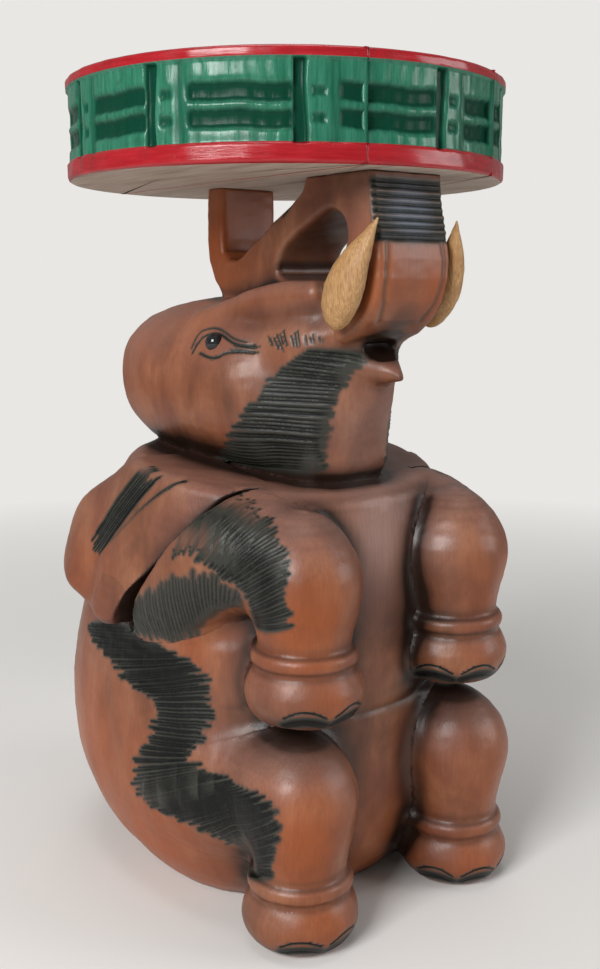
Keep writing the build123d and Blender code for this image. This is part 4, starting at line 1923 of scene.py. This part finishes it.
@dataclass(frozen=True)
class DullWood:
    """Unpolished wood: streaks of two colours along the grain, and dirtier patches over them.

    A pattern is its pitch, detail and roughness. Patches start at the first share of their
    span, are full at the second and hide the third of what is below.
    """

    name: str
    light: str
    dark: str
    dirt: str
    grain: tuple[Place, float, float]
    patches: tuple[Place, float, float]
    span: tuple[float, float, float]
    roughness: float
    relief: float

    def make(self) -> Material:
        """Build the material.

        Returns:
            The finished material.
        """
        paint = Paint(self.name)
        grain = paint.pattern(*self.grain)
        base = paint.over(self.dark, self.light, grain, 0.3, 0.7)
        base = paint.over(base, self.dirt, paint.pattern(*self.patches), *self.span)
        return paint.done(base, grain, self.relief, Roughness=self.roughness)


@dataclass(frozen=True)
class EyeBead:
    """Black glass: a deep, wet-looking bead with a faint cloud in it."""

    colour: str = "#15171a"
    cloud: str = "#3a3d40"

    def make(self) -> Material:
        """Build the material.

        Returns:
            The finished material.
        """
        paint = Paint("black_glass_bead")
        cloud = paint.pattern((3.0,) * 3, 2.0)
        return paint.done(
            paint.over(self.colour, self.cloud, cloud, 0.45, 0.8, 0.6), None, 0.0, Roughness=0.08
        )


@dataclass(frozen=True)
class Enamel:
    """Brushed gloss enamel over wood: brush streaks, thin patches, worn high places, and painted
    shade in the carved grooves.
    """

    name: str
    colour: str
    # Deep colour for thick patches, also laid as painted shade in the carved grooves.
    deep: str
    thin: str
    worn: str
    brushed: Place = (2.2, 2.2, 26.0)

    def make(self) -> Material:
        """Build the material.

        Returns:
            The finished material.
        """
        paint = Paint(self.name)
        cut = paint.shares()[0]
        streak = paint.pattern(self.brushed, rough=0.6)
        patch = paint.pattern((16.0, 16.0, 12.0), rough=0.6)
        chips = paint.pattern((4.0, 4.0, 3.0), 5.0, 0.7)
        base = paint.over(self.colour, self.thin, streak, 0.35, 0.7)
        base = paint.over(base, self.deep, patch, 0.55, 0.8, 0.6)
        # Painted shade: the deep colour darkens the carved grooves by their depth.
        base = paint.over(base, self.deep, cut, 0.34, 0.8, 0.92)
        base = paint.over(base, self.worn, chips, 0.66, 0.76, 0.6)
        return paint.done(
            base, streak, 0.25, Roughness=paint.span(patch, 0.3, 0.7, 0.16, 0.32),
            Specular_IOR_Level=paint.span(cut, 0.2, 0.7, 0.4, 0.08),
            Coat_Weight=paint.span(cut, 0.2, 0.7, 0.15, 0.0), Coat_Roughness=0.15,
        )


# Pale unstained softwood, rasped to shape: dull and faintly speckled.
TUSK_WOOD = DullWood(
    "pale_rasped_wood", "#c09a68", "#8c5f35", "#8c5f35", ((0.9, 0.9, 7.0), 4.0, 0.65),
    ((12.0,) * 3, 3.0, 0.55), (0.5, 0.75, 0.5), roughness=0.5, relief=0.35,
)
# Unpainted board, sawn and greyed: long dull streaks along Y with dirt in the grain.
BOARD_GRAIN = ((1.6, 50.0, 10.0), 5.0, 0.6), ((11.0, 90.0, 20.0), 3.0, 0.5), (0.5, 0.8, 0.6)
BARE_BOARD = DullWood(
    "greyed_bare_board", "#c4b5a8", "#9a8676", "#6c5a4c", *BOARD_GRAIN, roughness=0.75, relief=0.3
)
# The seat's top: the same board, stained brown and worn.
TOP_BOARD = DullWood(
    "worn_stained_board", "#8a5c3c", "#6b4128", "#4a2c1c", *BOARD_GRAIN, roughness=0.75, relief=0.3
)
# Turned hardwood pegs: pale, close-grained, clean and unpolished, hidden in the joints.
DOWEL_WOOD = DullWood(
    "plain_dowel_hardwood", "#c9a270", "#a57b4b", "#a57b4b", ((1.2, 1.2, 14.0), 4.0, 0.6),
    ((12.0,) * 3, 3.0, 0.5), (0.5, 0.75, 0.0), roughness=0.6, relief=0.15,
)
# Deep green brushed upright on the carved band: glossy ribs, with painted shade that makes the
# grooves nearly black.
GREEN_ENAMEL = Enamel("green_gloss_enamel", "#1c6149", "#053325", "#377a62", "#2b5a40")
# Red brushed along the rims: a glossy edge with pink chips.
RED_ENAMEL = Enamel(
    "red_gloss_enamel", "#930d17", "#5c0b10", "#a81c26", "#a5524a", brushed=(22.0, 22.0, 1.8)
)


# ---- stage --------------------------------------------------------------------------------


@dataclass
class Studio:
    """Pale floor and world, soft lights and the camera."""

    camera_place: Place = (-468.5, -603.6, 397.0)
    camera_turn: float = -38.5
    camera_pitch: float = 10.0
    lens: float = 42.1
    pale: str = "#e9e7e4"
    floor_shade: str = "#e3e1de"
    floor_half: float = 4.0
    floor_fade: tuple[float, float] = (0.45, 1.4)
    gloss_share: float = 0.12
    world_light: float = 0.22
    # Each light's name, place in metres, size in metres and watts, and what all aim at.
    LIGHTS = (
        ("key", (-1.6, -0.6, 1.15), 0.8, 36.0),
        ("fill", (1.3, -1.4, 0.75), 1.0, 13.0),
        ("top", (0.0, 0.1, 2.1), 1.1, 12.0),
    )
    AIM = (0.0, 0.0, 0.28)
    CORNERS = ((-1, -1), (1, -1), (1, 1), (-1, 1))

    def floor(self) -> None:
        """Lay a wide pale floor below the figure."""
        mesh = bpy.data.meshes.new("studio_floor")
        corners = [(i * self.floor_half, j * self.floor_half, 0) for i, j in self.CORNERS]
        mesh.from_pydata(corners, [], [(0, 1, 2, 3)])
        paint = Paint("pale_studio_paper")
        base = paint.over(self.pale, self.floor_shade, paint.pattern((400.0,) * 3, 2.0))
        mesh.materials.append(paint.done(base, None, 0.0, Roughness=0.9))
        tree = paint.tree
        place = add_node(tree, "TexCoord", out="Object")
        away = add_node(tree, "VectorMath", [place], "Value", operation="LENGTH")
        seen = add_node(tree, "LightPath", out="Is Camera Ray")
        share = paint.span(away, *self.floor_fade, 0.0, seen)
        glow = add_node(tree, "Emission", {"Color": self.pale, "Strength": 1.0})
        both = add_node(tree, "MixShader", (share, paint.shader.outputs[0], glow))
        fill(tree, tree.nodes["Material Output"], {"Surface": both})
        piece = bpy.data.objects.new("studio_floor", mesh)
        bpy.context.scene.collection.objects.link(piece)

    def world(self) -> None:
        """Set a pale world that the camera and gloss see, and a plainer light from it."""
        world = bpy.data.worlds.new("studio")
        bpy.context.scene.world = world
        world.use_nodes = True
        tree = world.node_tree
        path = add_node(tree, "LightPath").node.outputs
        direct = path["Is Camera Ray"], path["Is Transmission Ray"]
        seen = add_node(tree, "Math", direct, operation="MAXIMUM")
        gloss = path["Is Glossy Ray"], self.gloss_share
        shine = add_node(tree, "Math", gloss, operation="MULTIPLY")
        seen = add_node(tree, "Math", (seen, shine), operation="MAXIMUM")
        light, shown = (
            add_node(tree, "Background", (self.pale, power)) for power in (self.world_light, 1.0)
        )
        output = tree.nodes.get("World Output") or tree.nodes.new("ShaderNodeOutputWorld")
        fill(tree, output, {"Surface": add_node(tree, "MixShader", (seen, light, shown))})

    def lights(self) -> None:
        """Hang soft rectangular lights, each aimed at the figure's middle."""
        for name, place, size, power in self.LIGHTS:
            lamp = bpy.data.lights.new(name, "AREA")
            lamp.energy, lamp.size = power, size
            holder = bpy.data.objects.new(name, lamp)
            holder.location = place
            toward = Vector(self.AIM) - Vector(place)
            holder.rotation_euler = toward.to_track_quat("-Z", "Y").to_euler()
            bpy.context.scene.collection.objects.link(holder)

    def camera(self) -> None:
        """Place the camera at the front right, looking slightly down."""
        lens = bpy.data.cameras.new("camera")
        lens.lens, lens.sensor_width = self.lens, 36.0
        lens.clip_start, lens.clip_end = 0.01, 50.0
        holder = bpy.data.objects.new("camera", lens)
        holder.location = np.array(self.camera_place) * MILLIMETRE
        holder.rotation_euler = np.radians([90.0 - self.camera_pitch, 0.0, self.camera_turn])
        bpy.context.scene.collection.objects.link(holder)
        bpy.context.scene.camera = holder

    def make(self) -> None:
        """Set up the whole stage."""
        bpy.context.scene.view_settings.view_transform = "Standard"
        self.floor()
        self.world()
        self.lights()
        self.camera()


# ---- cuts and spots -----------------------------------------------------------------------


# Each line of a toenail: rise, arch and radius of its path, black beside it and depth.
TOENAIL_LINES = ((5.2, 4.4, 33.0, 3.6, 0.4), (10.4, 5.4, 35.6, 0.7, 0.9))
FACE_CUTS = (
    Cuts(
        ((36, -71, 358), (42, -58, 351), (49, -45, 338), (54, -38, 325), (60, -28, 311),
        (56, -10, 296), (46, 12, 285)),
        ((14, -95, 356), (22, -94, 346), (23, -86, 336), (26, -80, 324), (28, -77, 309),
        (28, -74, 296), (26, -68, 284)),
        count=33, depth=0.9, width=0.8, rub=1.0, stain=3.8, ragged=0.06,
    ),
    Cuts(
        ((48, -38, 366), (40, -60, 369), (31, -78, 367)), ((48, -46, 358), (42, -64, 360),
        (34, -82, 359)),
        count=13, depth=0.5, width=0.6, black=0.75, rub=0.7, stain=0.0, ragged=0.3,
    ),
    Cuts(
        ((57, -20, 363), (60, -20, 356)), ((50, -34, 361), (52, -35, 354)),
        count=4, depth=0.5, width=0.6, black=0.7, rub=0.8, stain=0.0, ragged=0.15,
    ),
    Line(((67, 12, 354), (61, 9, 365), (57, -2, 367), (57, -17, 362), (54, -26, 360),
    (50, -32, 360)), black=0.85),
    Line(((66, 15, 357), (59, 14, 368), (55, 1, 370), (55, -17, 364), (52, -26, 362)),
    black=0.6, depth=0.5),
    Line(((66, 5, 354), (66, -4, 352), (64, -11, 352), (61, -17, 355), (57, -25, 356),
    (52, -34, 356)), black=0.8),
)
TORSO_CUTS = (
    Cuts(
        (
            (113, 80, 166), (117, 64, 160), (120, 21, 147), (118, 1, 142), (116, -12, 138),
            (117, -13, 124),
            (118, -10, 113), (121, 1, 98), (121, 5, 81), (118, -10, 69), (117, -31, 69),
            (109, -55, 66),
        ),
        (
            (114, 29, 179), (111, -11, 174), (104, -36, 163), (100, -46, 155), (99, -49, 145),
            (100, -48, 128),
            (104, -44, 117), (109, -42, 108), (108, -52, 104), (103, -76, 101), (102, -101, 101),
            (101, -111, 96),
        ),
        count=96, depth=1.0, rub=1.2, stain=2.8,
    ),
    Line(((0, -96, 130), (28, -93, 131), (52, -84, 136)),
    depth=1.5, width=2.6, black=0.2, rub=2.0),
)
THIGH_CUTS = (
    *TORSO_CUTS[:1],
    Cuts(
        ((109, -55, 66), (101, -66, 56), (97, -84, 43)), ((101, -111, 96), (99, -115, 86),
        (95, -106, 50)),
        count=22, depth=0.9, rub=1.3, stain=4.0,
    ),
    *toenails(67, -99, 0),
)
ARM_CUTS = (
    Cuts(
        (
            (117, -39, 237), (113, -54, 242), (110, -69, 235), (105, -79, 230), (102, -87, 226),
            (100, -91, 218),
            (97, -90, 208), (93, -84, 198),
        ),
        (
            (85, -45, 268), (80, -63, 268), (83, -84, 264), (86, -105, 255), (87, -116, 245),
            (91, -117, 235),
            (92, -118, 222), (88, -118, 206),
        ),
        count=50, depth=1.0, rub=1.1, stain=3.0,
    ),
    Cuts(
        (
            (115, 26, 190), (122, -8, 204), (121, -31, 218), (118, -48, 226), (112, -66, 229),
            (106, -77, 225),
            (100, -85, 218),
        ),
        (
            (114, 14, 178), (115, -8, 178), (111, -24, 179), (106, -40, 184), (104, -57, 196),
            (101, -68, 204),
            (98, -78, 208),
        ),
        count=40, depth=0.45, width=0.9, black=0.88, rub=0.9, stain=4.6,
    ),
    *toenails(63, -98, 141),
)
EAR_CUTS = (
    Cuts(
        ((97, 14, 284), (102, 3, 281), (105, -4, 277)), ((115, 64, 232), (116, 55, 229),
        (118, 43, 226)),
        count=9, depth=0.8, rub=1.2, stain=2.4, ragged=0.12,
    ),
    Line(((98, -24, 280), (106, -6, 267), (113, 15, 248), (118, 36, 231)),
    width=1.1, depth=0.9, rub=1.7),
)
TRUNK_CUTS = (
    Cuts(
        ((34, -115, 458), (34, -117, 440), (34, -121, 420)), ((-34, -115, 458), (-34, -117, 440),
        (-34, -121, 420)),
        count=9, depth=1.4, width=1.4, black=0.95, rub=1.5, stain=3.6, ragged=0.0,
    ),
    Line(((22, -122, 420), (23, -122, 405), (21.5, -119, 390), (17, -110, 376)),
    depth=0.9, width=2.0, black=0.3, rub=1.6),
    Cuts(
        ((26, -52, 462), (26, -34, 446)), ((26, -46, 452), (26, -28, 438)),
        count=5, depth=0.8, width=0.8, black=0.7, rub=1.0, stain=0.0, ragged=0.3,
    ),
)
# Spots on the left side: x, y, z, radius and full share. The full warm spot on the post under
# the seat, at y 56 and z 420, is worn orange and partly a painted highlight.
WARM_SPOTS = (
    (60, 130, 80, 90, 0.9), (110, 70, 70, 70, 0.95), (100, 20, 30, 80, 1.0),
    (0, -60, 30, 50, 0.6),
    (50, 100, 350, 60, 0.5), (60, 30, 378, 34, 0.35), (20, -126, 398, 26, 0.75),
    (20, 56, 420, 44, 1.0),
    (82, -126, 206, 34, 0.75), (63, -130, 158, 24, 0.5), (106, -40, 176, 22, 0.5),
    (82, -128, 76, 34, 0.75), (67, -126, 16, 28, 0.75), (110, 20, 70, 30, 0.5),
    (120, 60, 205, 34, 0.45),
)
# Painted shade: the mouth, the inside of the trunk's loop, the chest between the arms, under the
# belly and other creases where shade falls.
PAINTED_SHADE_SPOTS = (
    (0, -92, 364, 13, 1.0), (0, -60, 412, 22, 0.7), (36, -92, 196, 34, 0.4),
    (32, -92, 240, 24, 0.12), (30, -90, 130, 26, 0.14), (0, -70, 60, 60, 0.1),
    (0, -108, 376, 14, 0.35),
)
# Painted highlights and sheen where light catches the chin, chest, shoulder, trunk front, back of
# the head and a knee.
PAINTED_SHEEN_SPOTS = (
    (60, -96, 266, 28, 0.35), (0, -80, 312, 26, 0.5), (0, -92, 240, 34, 1.0),
    (0, -120, 440, 28, 0.95),
    (60, 100, 380, 44, 0.45), (80, -100, 120, 30, 0.35),
)
PIECES = (
    CarvedPiece("torso", (-130, -110, -4), (130, 182, 306), 2.4, TORSO_CUTS),
    CarvedPiece("head", (-80, -142, 258), (80, 150, 450), 1.7, FACE_CUTS),
    CarvedPiece("trunk", (-36, -136, 346), (36, 70, 466), 1.4, TRUNK_CUTS),
    CarvedPiece("arm", (16, -142, 130), (130, 66, 290), 1.7, ARM_CUTS),
    CarvedPiece("thigh", (6, -142, -4), (130, 92, 146), 2.0, THIGH_CUTS),
    CarvedPiece("ear", (40, -76, 164), (146, 138, 306), 1.7, EAR_CUTS),
)


def main() -> None:
    """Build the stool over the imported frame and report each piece."""
    logging.basicConfig(level=logging.INFO, format="%(message)s")
    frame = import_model()
    figure = Figure()
    wood = WaxedWood().make()
    for piece in PIECES:
        piece.make(figure, wood)
    Tusks().make(TUSK_WOOD.make())
    Eyes().make(EyeBead().make())
    Seat().make([kind.make() for kind in (GREEN_ENAMEL, RED_ENAMEL, BARE_BOARD, TOP_BOARD)])
    dowel = DOWEL_WOOD.make()
    for name, node in frame["nodes"].items():
        if "dowel" in name:
            node.data.materials.clear()
            node.data.materials.append(dowel)
    Studio().make()


if __name__ == "__main__":
    main()
